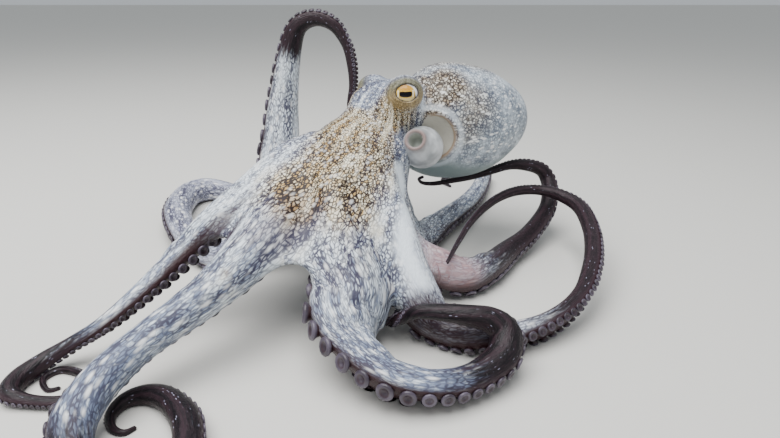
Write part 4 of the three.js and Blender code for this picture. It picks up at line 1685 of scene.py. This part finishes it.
@dataclass(frozen=True)
class Suckers:
    """The suckers of several arms, in two staggered rows on each, as one piece.

    A node tree instances them and makes them real.
    """

    limbs: Sequence[Limb]
    width_share: float = 0.37  # sucker width as a share of the arm's
    width_cap: float = 44.0  # arm width past which the suckers grow no more
    flat_share: float = 1.2  # the same for a flat arm, as a share of its depth
    smallest: float = 1.3
    spacing: float = 1.10  # distance along a row, in sucker widths
    row: float = 0.60  # place of a row, in half widths from the middle
    splay: float = 0.95  # how far the suckers lean away from the middle
    start: float = 62.0  # distance walked to the first sucker
    lift: float = 0.46  # height of a sucker as a share of its width
    profile: tuple[Row, ...] = (
        (0.62, 0.00), (0.72, 0.34), (0.97, 0.62), (1.00, 0.80), (0.90, 0.96), (0.70, 1.00),
        (0.50, 0.90), (0.30, 0.70), (0.14, 0.62),
    )  # radius and height, as shares of the half width and the lift
    cup: Row = (0.0, 0.2, 0.7, 0.9, 1.0, 0.85, 0.35, 0.6, 0.5)  # paleness of each ring
    middle: Row = (0.60, 0.4)  # height and paleness of the cup's middle
    sides: int = 12
    sink: float = 0.12  # how deep the foot stands in the flesh, in sucker widths
    unevenness: float = 0.10
    seed: int = 7

    def places(self, limb: Limb) -> tuple[Array, Array, Array]:
        """Space the suckers of one arm.

        Args:
            limb: The arm.

        Returns:
            Foot, direction and width of each sucker.
        """
        feet, aims, widths = [], [], []
        for side, offset in ((1.0, 0.0), (-1.0, 0.5)):
            at = self.start
            while at < limb.length - 2.0:
                foot, aim, size = self._place(limb, at, side)
                ahead, _, _ = self._place(limb, at + 1.0, side)
                step = size * self.spacing / max(float(np.linalg.norm(ahead - foot)), 0.45)
                if offset:
                    at, offset = at + step * offset, 0.0
                    continue
                feet.append(foot)
                aims.append(aim)
                widths.append(size)
                at += step
        return np.array(feet), np.array(aims), np.array(widths)

    def _place(self, limb: Limb, at: float, side: float) -> tuple[Array, Array, float]:
        """Place one sucker.

        Args:
            limb: The arm.
            at: Distance walked to it.
            side: 1 in the right row, -1 in the left one.

        Returns:
            Its foot, direction and width.
        """
        middle, across, facing, _, wide, high = (part[0] for part in limb.frame(np.array([at])))
        width = min(2 * wide, self.width_cap, 2 * high * self.flat_share)
        size = max(self.smallest, self.width_share * width)
        across = across * side
        low, last, share = limb.plan.fringe
        row = self.row
        if side > 0 and low < at < last:
            row += share * math.sin(math.pi * (at - low) / (last - low)) ** 0.5
        lens = SECTION.lens(np.array([wide]), np.array([high]))
        _, deep = SECTION.outline(np.array([math.pi - math.asin(row)]), lens)
        foot = middle + across * row * wide + facing * (float(deep[0]) * high - self.sink * size)
        return foot, unit(facing + across * (self.splay + 2 * (row - self.row))), size

    def prototype(self, name: str) -> Object:
        """Make one sucker of half width 1, its foot at the origin, looking along +Z.

        Args:
            name: Name of the object.

        Returns:
            The sucker.
        """
        turn = np.arange(self.sides) / self.sides * 2 * np.pi
        points = [(radius * math.cos(a), radius * math.sin(a), height * self.lift * 2)
                  for radius, height in self.profile for a in turn]
        points.append((0, 0, self.middle[0] * self.lift * 2))
        faces = ring_faces(len(self.profile), self.sides, tip=True)
        made = mesh_object(name, np.array(points), faces, None)
        give_attribute(made.data, "cup", np.r_[np.repeat(self.cup, self.sides), self.middle[1]])
        return made

    @staticmethod
    def tree(sucker: Object, material: Material) -> NodeTree:
        """Node tree that sets a sucker on each vertex and makes all of them real.

        Args:
            sucker: The sucker to repeat.
            material: Finish of all suckers.

        Returns:
            The tree, with inputs for the unevenness of size and the seed.
        """
        tree = bpy.data.node_groups.new("sucker rows", "GeometryNodeTree")
        for name, way, kind in (("Feet", "INPUT", "Geometry"), ("Unevenness", "INPUT", "Float"),
                                ("Seed", "INPUT", "Int"), ("Suckers", "OUTPUT", "Geometry")):
            tree.interface.new_socket(name, in_out=way, socket_type=f"NodeSocket{kind}")
        add = Graph("suckers", tree).node
        given = add("NodeGroupInput")
        points = add("GeometryNodeMeshToPoints", {}, {"Mesh": given.outputs["Feet"]})
        aim, width = (
            add("GeometryNodeInputNamedAttribute", {"data_type": kind}, {"Name": name})
            for name, kind in (("aim", "FLOAT_VECTOR"), ("width", "FLOAT")))
        turned = add("FunctionNodeAlignRotationToVector", {"axis": "Z"},
                     {"Vector": aim.outputs["Attribute"]})
        spread = add("ShaderNodeMath", {"operation": "SUBTRACT"},
                     {0: 1.0, 1: given.outputs["Unevenness"]})
        chance = add("FunctionNodeRandomValue", {"data_type": "FLOAT"},
                     {2: spread.outputs[0], 3: 1.0, "Seed": given.outputs["Seed"]})
        scale = add("ShaderNodeMath", {"operation": "MULTIPLY"},
                    {0: width.outputs["Attribute"], 1: chance.outputs[1]})
        source = add("GeometryNodeObjectInfo", {}, {"Object": sucker})
        placed = add("GeometryNodeInstanceOnPoints", {}, {
            "Points": points.outputs[0], "Instance": source.outputs["Geometry"],
            "Rotation": turned.outputs[0], "Scale": scale.outputs[0]})
        real = add("GeometryNodeRealizeInstances", {}, {"Geometry": placed.outputs[0]})
        coated = add("GeometryNodeSetMaterial", {},
                     {"Geometry": real.outputs[0], "Material": material})
        add("NodeGroupOutput", {}, {"Suckers": coated.outputs[0]})
        return tree

    def build(self, name: str, placement: Placement, material: Material) -> Object:
        """Make the piece.

        Args:
            name: Name of the piece.
            placement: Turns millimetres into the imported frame.
            material: Finish of the suckers.

        Returns:
            The suckers as one plain mesh.
        """
        rows = [self.places(limb) for limb in self.limbs]
        feet, aims, widths = (np.concatenate([row[k] for row in rows]) for k in range(3))
        seeds = mesh_object(f"{name}_feet", feet * METRE + placement.shift, [], None)
        give_vectors(seeds.data, "aim", aims)
        give_attribute(seeds.data, "width", widths / 2 * METRE)
        sucker = self.prototype(f"{name}_one")
        modifier = seeds.modifiers.new("suckers", "NODES")
        modifier.node_group = self.tree(sucker, material)
        for item in modifier.node_group.interface.items_tree:
            if item.name == "Unevenness":
                modifier[item.identifier] = self.unevenness
            elif item.name == "Seed":
                modifier[item.identifier] = self.seed
        view = seeds.evaluated_get(bpy.context.evaluated_depsgraph_get())
        mesh = bpy.data.meshes.new_from_object(view)
        seeds.modifiers.clear()
        for spare in (seeds, sucker):
            bpy.data.objects.remove(spare)
        mesh.name = name
        for vert in mesh.vertices:
            vert.co.z = max(vert.co.z, 0.0)
        log.info("%s: %d suckers, %d faces", name, len(feet), len(mesh.polygons))
        return linked(name, mesh)


# ---- eyes and funnel ----


@dataclass(frozen=True)
class Eyeball:
    """One eyeball, meshed round its gaze so that the iris and the pupil are finely divided."""

    plan: EyePlan
    rings: int = 36
    sides: int = 48
    crowding: float = 1.35  # how much closer the rings lie at the front

    def build(self, placement: Placement, material: Material) -> Object:
        """Make the ball, with a map across its front in shares of its radius.

        Args:
            placement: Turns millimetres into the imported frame.
            material: Finish of the eye.

        Returns:
            The eyeball.
        """
        right, up, out = self.plan.axes
        tilt = np.linspace(0, 1, self.rings + 1)[1:-1] ** self.crowding * np.pi
        turn = np.arange(self.sides) / self.sides * 2 * np.pi
        local = [(math.sin(t) * math.cos(a), math.sin(t) * math.sin(a), math.cos(t))
                 for t in tilt for a in turn]
        local = np.array([*local, (0.0, 0.0, -1.0), (0.0, 0.0, 1.0)])
        faces = [face[::-1] for face in ring_faces(len(tilt), self.sides, tip=True)]
        faces += [(len(local) - 1, k, (k + 1) % self.sides) for k in range(self.sides)]
        points = self.plan.centre + self.plan.ball_radius * (
            local[:, :1] * right + local[:, 1:2] * up + local[:, 2:] * out)
        made = mesh_object(self.plan.name.replace("eye", "eyeball"), placement.metres(points),
                           faces, material)
        corners = [loop.vertex_index for loop in made.data.loops]
        layer = made.data.uv_layers.new(name="front")
        layer.uv.foreach_set("vector", local[corners][:, :2].astype(np.float32).ravel())
        give_attribute(made.data, "forward", local[:, 2])
        return made


@dataclass(frozen=True)
class Funnel:
    """The funnel: a swollen tube whose lip turns in to an open bore."""

    plan: BodyPlan
    sides: int = 44
    rings: int = 34  # rings along the outside
    lip_rings: int = 8  # rings over the turned-in lip
    lip_length: float = 0.8
    bore_shares: Row = (0.25, 0.5, 0.75, 1.0)
    bore_taper: float = 0.25
    flush: Row = (3.0, 4.6)  # the flushed ring's place past the outer rings, and its spread

    def build(self, placement: Placement, material: Material) -> Object:
        """Make the funnel from its root, over the lip and down the bore.

        Args:
            placement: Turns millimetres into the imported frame.
            material: Finish of the funnel.

        Returns:
            The funnel.
        """
        rows = np.array(self.plan.funnel, float)
        outer = catmull_rom(rows, np.linspace(0, len(rows) - 1, self.rings))
        mouth, before = outer[-1], outer[-4]
        along = unit(mouth[:3] - before[:3])
        lip, bore = mouth[3], self.plan.funnel_bore
        rings = list(outer)
        swell = (lip - bore) / 2
        for angle in np.linspace(0, np.pi, self.lip_rings + 1)[1:]:
            centre = mouth[:3] + along * math.sin(angle) * swell * self.lip_length
            rings.append(np.r_[centre, bore + swell + swell * math.cos(angle)])
        for share in self.bore_shares:
            centre = mouth[:3] - along * self.plan.funnel_bore_depth * share
            rings.append(np.r_[centre, bore * (1 - self.bore_taper * share)])
        rings = np.array(rings)
        centres = rings[:, :3]
        axis = unit(np.gradient(centres[:self.rings], axis=0))
        axis = np.vstack([axis, np.tile(along, (len(rings) - self.rings, 1))])
        side = unit(np.cross(axis, (0.0, 0.0, 1.0)))
        down = np.cross(axis, side)
        turn = np.arange(self.sides) / self.sides * 2 * np.pi
        points = (centres[:, None] + rings[:, 3, None, None]
                  * (np.cos(turn)[None, :, None] * side[:, None]
                     + np.sin(turn)[None, :, None] * down[:, None])).reshape(-1, 3)
        faces = ring_faces(len(rings), self.sides)
        faces.append(tuple(range(self.sides))[::-1])
        last = (len(rings) - 1) * self.sides
        faces.append(tuple(last + k for k in range(self.sides)))
        made = mesh_object("funnel_tube", placement.metres(points), faces, material)
        place = np.arange(len(rings))
        flush = np.exp(-((place - self.rings - self.flush[0]) / self.flush[1]) ** 2)
        give_attribute(made.data, "lip", np.repeat(flush, self.sides))
        inside = (place >= self.rings + self.lip_rings) * 1.0
        give_attribute(made.data, "bore", np.repeat(inside, self.sides))
        return made


class SkinFinish:
    """The skin's finish: netted cells over the head and body, streaks along the arms."""

    MILLIMETRE = 1000.0  # turns Object coordinates in metres into millimetres
    CELL_SIZE, MANTLE_CELL = 2.2, 3.0  # width of the net's cells, in millimetres
    PEARL_SPACING, SPECK_SPACING = 5.5, 1.9
    DASH_SHARES = (0.10, 0.10, 0.24)  # dashes per millimetre along each axis
    STRIPES = 9.0  # white rows across an arm's back, in radians for its half width
    FOLDS = 1.9  # folds of the lids, in radians for a millimetre

    def __init__(self) -> None:
        """Start the graph and its pattern coordinates."""
        self.graph = Graph("skin")
        graph = self.graph
        texture = graph.node("ShaderNodeTexCoord")
        self.place = graph.vector("MULTIPLY", texture.outputs["Object"],
                                  (self.MILLIMETRE,) * 3)
        is_arm = self._ragged(graph.attribute("arm"))
        self.flow = graph.mix(is_arm, self._attribute_vector("drift"),
                              self._attribute_vector("along"))
        self.bands = graph.mix(is_arm, self._attribute_vector("body_band"),
                               self._attribute_vector("arm_band"))

    def _attribute_vector(self, name: str) -> NodeSocket:
        """A vector stored on the mesh."""
        return self.graph.node("ShaderNodeAttribute", {"attribute_name": name}).outputs["Vector"]

    def _ragged(self, share: Value) -> Value:
        """Turn a soft share into a ragged border that follows the blotches of the skin."""
        noise = self.graph.noise(self._attribute_vector("body_band"), 0.22, 2.0)
        return (share + (noise - 0.5) * 2.2).step(0.497, 0.503)

    def _net(self, place: NodeSocket, size: float) -> tuple[Value, Value]:
        """Cells of the skin's net.

        Args:
            place: Pattern coordinates in millimetres.
            size: Width of a cell in millimetres.

        Returns:
            A number for each cell, and the distance in from its border, 0 to about 0.6.
        """
        graph = self.graph
        shift = graph.node("ShaderNodeTexNoise", {}, {"Vector": place, "Scale": 0.4 / size,
                                                      "Detail": 2.0}).outputs["Color"]
        bent = graph.vector("ADD", place, graph.vector("MULTIPLY", shift, (size * 1.4,) * 3))
        edge = graph.value(graph.cells(bent, 1 / size, "DISTANCE_TO_EDGE"), "Distance")
        cell = graph.node("ShaderNodeSeparateColor", {}, {
            0: graph.cells(bent, 1 / size).outputs["Color"]})
        return graph.value(cell, 0), edge

    def _pearls(self, spacing: float) -> Value:
        """Scatter soft pale spots.

        Args:
            spacing: Their mean distance in millimetres, about three times their width.

        Returns:
            Their share.
        """
        graph = self.graph
        spot = graph.value(graph.cells(self.flow, 1 / spacing), "Distance").step(0.40, 0.08)
        return spot * graph.noise(self.flow, 0.06).step(0.30, 0.50)

    def build(self) -> Material:
        """Make the material.

        Returns:
            The skin's material.
        """
        graph, colour = self.graph, COLOURS
        mark = {name: graph.attribute(name) for name in (
            "gold", "cool", "pale", "mauve", "pink", "flesh", "teal", "rust", "dash", "mantle",
            "lining", "brim", "lip", "lid", "fold", "lid_high", "dusk", "dim", "lilac", "sole",
            "across")}
        cell, edge = self._net(self.flow, self.CELL_SIZE)
        streak = graph.noise(self.bands, 0.75, 3.0, 0.7).step(0.30, 0.70)
        band = graph.noise(self.bands, 0.10, 3.0, 0.6)
        line = (edge + (band - 0.5) * 0.4).step(0.25, 0.05)
        cloud = graph.noise(self.place, 0.035, 3.0, 0.6)
        netted = (mark["gold"] - mark["cool"] * 0.5).least(1.0).most(0.0)
        warm = ((cloud - 0.5) * 0.9 + (band - 0.5) * 1.3 + mark["gold"] * 1.1
                - mark["cool"] * 1.5).step(0.1, 0.9)
        light = ((streak - 0.5) * (0.8 - netted * 0.4) + (band - 0.5) * (1.5 + netted)
                 + (cell - 0.5) * 0.6 - mark["dim"] * 0.30 - netted * 0.34
                 - mark["cool"] * 0.55 + 0.80).step(0.0, 1.0)
        base = graph.mix(warm, graph.mix(light, colour.steel, colour.ice),
                         graph.mix(light, colour.gold, colour.cream))
        dull = (mark["mauve"] * 0.8 + (0.5 - band) * 1.6).step(0.0, 0.9) * 0.7
        base = graph.mix(dull, base, colour.mauve, "MULTIPLY")
        base = graph.mix(mark["lilac"] * 0.55, base, colour.lilac)
        shade = graph.mix(warm, colour.slate, colour.umber)
        net = line * (1 - mark["pale"]) * (1 - mark["teal"]) * (1 - mark["lid"] * 0.3)
        base = graph.mix(net * ((0.5 - band) * 1.5 + netted * 0.45 + 0.60).step(0.0, 0.9),
                         base, shade)
        pearl = self._pearls(self.PEARL_SPACING)
        base = graph.mix(pearl * (0.9 - netted * 0.4), base, colour.white)
        base = self._mantle(base, mark)
        base = graph.mix(mark["pale"] * 0.9, base, colour.ice)
        base = graph.mix(mark["pink"] * (0.6 + 0.4 * cell), base, colour.pink)
        base = graph.mix(mark["flesh"] * (0.7 + 0.3 * streak), base, colour.maroon)
        base = self._dark_ends(base, mark)
        base = self._openings(base, mark, line)
        rough = graph.noise(self.place, 0.6, 2.0)
        height = (streak * 0.8 + pearl * 0.5 - line * 0.5
                  - (mark["fold"] * self.FOLDS).sine() * mark["lid"] * 1.5)
        bump = graph.node("ShaderNodeBump", {}, {
            "Strength": 0.45, "Distance": 0.0005, "Height": height + rough * 0.4})
        return graph.finish({"Base Color": base, "Roughness": rough * 0.2 + 0.32,
                             "Normal": bump.outputs[0], "Specular IOR Level": 0.28})

    def _mantle(self, base: NodeSocket, mark: dict[str, Value]) -> NodeSocket:
        """Lay the mantle's fine net, white dashes and smooth underside, which is painted darker
        teal-grey as shade.

        Args:
            base: Colour so far.
            mark: The marks by name.

        Returns:
            The colour with the mantle.
        """
        graph, colour = self.graph, COLOURS
        cell, edge = self._net(self.place, self.MANTLE_CELL)
        line = edge.step(0.26, 0.04)
        cloud = graph.noise(self.place, 0.06, 3.0, 0.6)
        brown = (mark["rust"] + (cloud - 0.5) * 1.2 * mark["rust"]).step(0.1, 0.8)
        fill = ((cell - 0.5) * 0.6 + (cloud - 0.5) * 1.2 + 0.60 - brown * 0.2).step(0.0, 1.0)
        skin = graph.mix(brown, graph.mix(fill, tone(130, 144, 160), tone(222, 232, 240)),
                         graph.mix(fill, tone(158, 138, 112), tone(238, 234, 222)))
        shade = graph.mix(brown, tone(72, 78, 98), colour.umber)
        net = line * ((0.5 - cloud) * 1.2 + brown * 0.4 + 0.54).step(0.0, 1.0)
        skin = graph.mix(net * (1 - mark["teal"]), skin, shade)
        flat = graph.vector("MULTIPLY", self.place, self.DASH_SHARES)
        dash = graph.value(graph.cells(flat, 1.0), "Distance").step(0.32, 0.20)
        skin = graph.mix(dash * mark["dash"], skin, colour.white)
        # painted shade over the mantle's underside, in teal-grey
        skin = graph.mix(mark["teal"], skin, colour.teal)
        return graph.mix(mark["mantle"], base, skin)

    def _dark_ends(self, base: NodeSocket, mark: dict[str, Value]) -> NodeSocket:
        """Darken the outer arms under rows of tiny pale specks, and the flesh round the suckers.

        Args:
            base: Colour so far.
            mark: The marks by name.

        Returns:
            The colour with the dark ends.
        """
        graph, colour = self.graph, COLOURS
        dusk = (mark["dusk"] + (graph.noise(self.bands, 0.5) - 0.5) * 0.7).step(0.2, 0.8)
        stripes = ((mark["across"] * self.STRIPES).sine() * 0.5 + 0.5).step(0.1, 0.9)
        streak = graph.noise(self.bands, 0.9, 2.0).step(0.35, 0.65)
        dark = graph.mix(stripes * 0.5 + streak * 0.4 + 0.25 - mark["lilac"] * 0.5,
                         colour.plum, colour.ink)
        specks = graph.cells(self.flow, 1 / self.SPECK_SPACING)
        speck = graph.value(specks, "Distance").step(0.26, 0.10)
        some = graph.noise(self.bands, 0.4).step(0.50, 0.64)
        dark = graph.mix(speck * some * 0.75, dark, colour.lilac)
        base = graph.mix(dusk, base, dark)
        return graph.mix(mark["sole"], base, graph.mix(dusk, colour.maroon, colour.plum))

    def _openings(self, base: NodeSocket, mark: dict[str, Value], line: Value) -> NodeSocket:
        """Colour the lids of the eyes, with painted shade over their upper halves, in their
        creases, along their inner edge and round their upper outline, and the lining and rim of the
        mantle's opening.

        Args:
            base: Colour so far.
            mark: The marks by name.
            line: The lines of the net.

        Returns:
            The colour with lids, lining and rim.
        """
        graph, colour = self.graph, COLOURS
        # painted shade: the upper half of each lid turns from brass to a darker olive
        upper = (mark["lid_high"] + (graph.noise(self.place, 0.15) - 0.5) * 0.8).step(-0.3, 0.4)
        lid = graph.mix(upper, colour.brass, colour.olive)
        # painted shade in the creases of the lids' folds, together with the net's own dark lines
        crease_shade = (mark["fold"] * self.FOLDS).sine().step(0.55, 1.0)
        lid = graph.mix((crease_shade * 0.45).most(line * 0.5), lid, colour.umber)
        # painted shade along the lids' inner edge, where they meet the eye
        lid = graph.mix(mark["fold"].step(1.2, 0.4), lid, colour.umber)
        base = graph.mix(mark["lid"] * 0.9, base, lid)
        # painted shade: a slate line round the upper outline of each lid
        rim = (mark["lid"] - 0.45).size().step(0.45, 0.1) * upper
        base = graph.mix(rim * 0.55, base, colour.slate)
        base = graph.mix(mark["lip"] * 0.5, base, colour.ice)
        base = graph.mix(mark["lining"], base, colour.bone)
        return graph.mix(mark["brim"] * 0.8, base, colour.rust)


@dataclass(frozen=True)
class SuckerFinish:
    """Dark flesh, a pale rim and a greyer cup, by the attribute "cup"."""

    rim: tuple[Row, Row] = (tone(54, 46, 56), tone(92, 84, 98))
    roughness: float = 0.36

    def build(self) -> Material:
        """Make the material.

        Returns:
            The suckers' material.
        """
        graph = Graph("suckers")
        place = graph.node("ShaderNodeTexCoord").outputs["Object"]
        rim = graph.mix(graph.noise(place, 60.0).step(0.35, 0.65), *self.rim)
        base = graph.mix(graph.attribute("cup").step(0.15, 0.75), COLOURS.maroon, rim)
        return graph.finish({"Base Color": base, "Roughness": self.roughness,
                             "Specular IOR Level": 0.5})


@dataclass(frozen=True)
class FunnelFinish:
    """White flesh, a flushed lip and a dark bore, by the attributes "lip" and "bore"."""

    flesh: tuple[Row, Row] = (tone(164, 168, 170), tone(230, 232, 234))
    lip: Row = tone(122, 94, 86)
    bore: Row = tone(176, 180, 172)
    roughness: float = 0.38

    def build(self) -> Material:
        """Make the material.

        Returns:
            The funnel's material.
        """
        graph = Graph("funnel")
        place = graph.node("ShaderNodeTexCoord").outputs["Object"]
        base = graph.mix(graph.noise(place, 70.0, 2.0).step(0.3, 0.7), *self.flesh)
        base = graph.mix(graph.attribute("lip") * 0.9, base, self.lip)
        base = graph.mix(graph.attribute("bore"), base, self.bore)
        return graph.finish({"Base Color": base, "Roughness": self.roughness,
                             "Specular IOR Level": 0.5})


@dataclass(frozen=True)
class EyeFinish:
    """Gold iris, the level black bar of a pupil and a pale crescent above, in millimetres, with
    painted shade under the upper lid, on the iris's lower edge and in the lids' corner.

    It reads the map "front" and the attribute "forward".
    """

    middle: Row = (-1.3, -1.7)
    half: Row = (5.7, 2.4)
    square: float = 4.0  # how square the bar is
    bend: float = 0.022  # how much the bar's ends rise, per millimetre squared
    iris_middle: Row = (-1.3, -1.8)
    iris_radius: float = 8.6
    roughness: float = 0.10

    def build(self) -> Material:
        """Make the material.

        Returns:
            The eyeballs' material.
        """
        graph, colour = Graph("eye"), COLOURS
        front = graph.node("ShaderNodeUVMap", {"uv_map": "front"}).outputs[0]
        parts = graph.node("ShaderNodeSeparateXYZ", {}, {
            0: graph.vector("MULTIPLY", front, (EyePlan.ball_radius,) * 3)})
        x, y = graph.value(parts, 0), graph.value(parts, 1)
        across = x - self.middle[0]
        up = y - self.middle[1] - across * across * self.bend
        wide, high = across / self.half[0], up.size() / self.half[1]
        bar = (wide ** self.square + high ** self.square) ** (1 / self.square) * 3.0 - 3.0
        iris_x, iris_y = x - self.iris_middle[0], y - self.iris_middle[1]
        ring = (iris_x * iris_x + iris_y * iris_y) ** 0.5 - self.iris_radius
        grain = graph.noise(front, 9.0, 3.0, 0.6)
        iris = graph.mix(grain.step(0.35, 0.65), colour.amber, tone(236, 196, 92))
        # painted shade of the upper lid: orange-brown over the iris above the pupil
        upper_lid_shade = (up - self.half[1]).step(0.2, 1.8) * (across.size() - 4.4).step(1.2, -0.6)
        iris = graph.mix(upper_lid_shade * 0.7, iris, tone(204, 142, 62))
        iris = graph.mix((up + self.half[1]).step(0.2, -1.6) * 0.8, iris, tone(234, 216, 160))
        side = (across.size() - self.half[0] - 0.9).size().step(0.9, 0.4) * up.size().step(3.4, 2.4)
        iris = graph.mix(side * 0.95, iris, tone(252, 244, 214))
        # painted shade: dark brown on the iris's edge below the pupil
        iris = graph.mix(ring.step(-1.6, 0.0) * up.step(1.0, -2.0) * 0.7, iris, tone(92, 62, 30))
        # painted shade: the ball outside the iris is dark brown in the lids' corner, white only in
        # the crescent at the upper right
        white = graph.mix((x + y).step(3.0, 7.0), tone(96, 78, 42), colour.white)
        base = graph.mix(ring.step(-0.3, 0.5), iris, white)
        base = graph.mix(bar.step(0.3, -0.3), base, tone(8, 8, 14))
        base = graph.mix(graph.attribute("forward").step(0.0, 0.2), tone(60, 50, 40), base)
        return graph.finish({"Base Color": base, "Roughness": self.roughness,
                             "Specular IOR Level": 0.3})


# ---- studio ----


@dataclass(frozen=True)
class Studio:
    """The pale floor, the soft light and the camera."""

    camera: Row = (30, -530, 270)  # millimetres, in the working space
    camera_down: float = 22.0  # degrees below level
    lens: float = 27.69  # millimetres
    film: float = 36.0  # millimetres wide
    nearest: float = 0.01  # metres, where the view starts
    key: Row = (-0.4, -0.3, 1.4)  # metres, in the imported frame
    key_watts: float = 44.0
    key_size: float = 1.5
    floor: float = 4.0  # half its width, in metres
    floor_colour: Row = tone(222, 220, 214)
    sky: Row = (0.80, 0.85, 0.90)
    sky_strength: float = 0.6

    def build(self, placement: Placement) -> None:
        """Set everything up round the model.

        Args:
            placement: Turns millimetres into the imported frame.
        """
        self._camera(placement)
        self._floor()
        self._light()

    def _camera(self, placement: Placement) -> None:
        """Set the camera at the height of a swimmer's eye, looking down a little.

        Args:
            placement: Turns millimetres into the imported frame.
        """
        data = bpy.data.cameras.new("camera")
        data.lens, data.sensor_width, data.clip_start = self.lens, self.film, self.nearest
        camera = linked("camera", data)
        camera.location = placement.metres(np.array([self.camera], float))[0]
        camera.rotation_euler = (math.radians(90 - self.camera_down), 0, 0)
        bpy.context.scene.camera = camera

    def _floor(self) -> None:
        """Lay the plain floor at the height the arms rest on."""
        half = self.floor
        mesh = bpy.data.meshes.new("floor")
        mesh.from_pydata([(-half, -half, 0), (half, -half, 0), (half, half * 1.5, 0),
                          (-half, half * 1.5, 0)], [], [(0, 1, 2, 3)])
        linked("floor", mesh, Graph("floor").finish({
            "Base Color": (*self.floor_colour, 1.0), "Roughness": 0.9}))

    def _light(self) -> None:
        """One broad light above the viewer's left, and an even pale surround."""
        data = bpy.data.lights.new("key", "AREA")
        data.energy, data.size = self.key_watts, self.key_size
        linked("key", data).location = self.key
        world = bpy.data.worlds.new("surround")
        world.use_nodes = True
        background = world.node_tree.nodes["Background"]
        background.inputs["Color"].default_value = (*self.sky, 1.0)
        background.inputs["Strength"].default_value = self.sky_strength
        bpy.context.scene.world = world


# ---- assembly ----


class Octopus:
    """The whole animal: one skin, the suckers, the eyes and the funnel."""

    def __init__(self) -> None:
        """Lay out the arms and the body in millimetres."""
        self.placement = Placement()
        self.limbs = {plan.name: Limb(plan) for plan in ARMS}
        self.body = Body(BodyPlan(), self.limbs)

    def build(self) -> None:
        """Build every piece and hand it to the frame."""
        flesh = [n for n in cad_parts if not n.startswith("eye_") and n != "funnel"]
        skin = Skin(self.body).build(self.placement, SkinFinish().build())
        self._hand_over(skin, "skin", flesh)
        coat = SuckerFinish().build()
        for side in ("left", "right"):
            limbs = [limb for name, limb in self.limbs.items() if side in name]
            self._hand_over(Suckers(limbs).build(f"suckers_{side}", self.placement, coat), "skin")
        glaze = EyeFinish().build()
        for eye in EYES:
            self._hand_over(Eyeball(eye).build(self.placement, glaze), "eye", [eye.name])
        funnel = Funnel(BodyPlan()).build(self.placement, FunnelFinish().build())
        self._hand_over(funnel, "skin", ["funnel"])

    @staticmethod
    def _hand_over(piece: Object, slot: str, nodes: Sequence[str] = ()) -> None:
        """Ride a piece on the body, and hide the nodes it stands for.

        Args:
            piece: A finished piece.
            slot: Not used.
            nodes: Nodes of the part that it replaces.
        """
        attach(piece, "root")
        if nodes:
            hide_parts(*nodes)
        triangles = sum(len(face.vertices) - 2 for face in piece.data.polygons)
        log.info("%s: %d triangles", piece.name, triangles)


def main() -> None:
    """Build the animal and the studio."""
    logging.basicConfig(level=logging.INFO, format="%(name)s: %(message)s")
    animal = Octopus()
    animal.build()
    Studio().build(animal.placement)


if __name__ == "__main__":
    main()
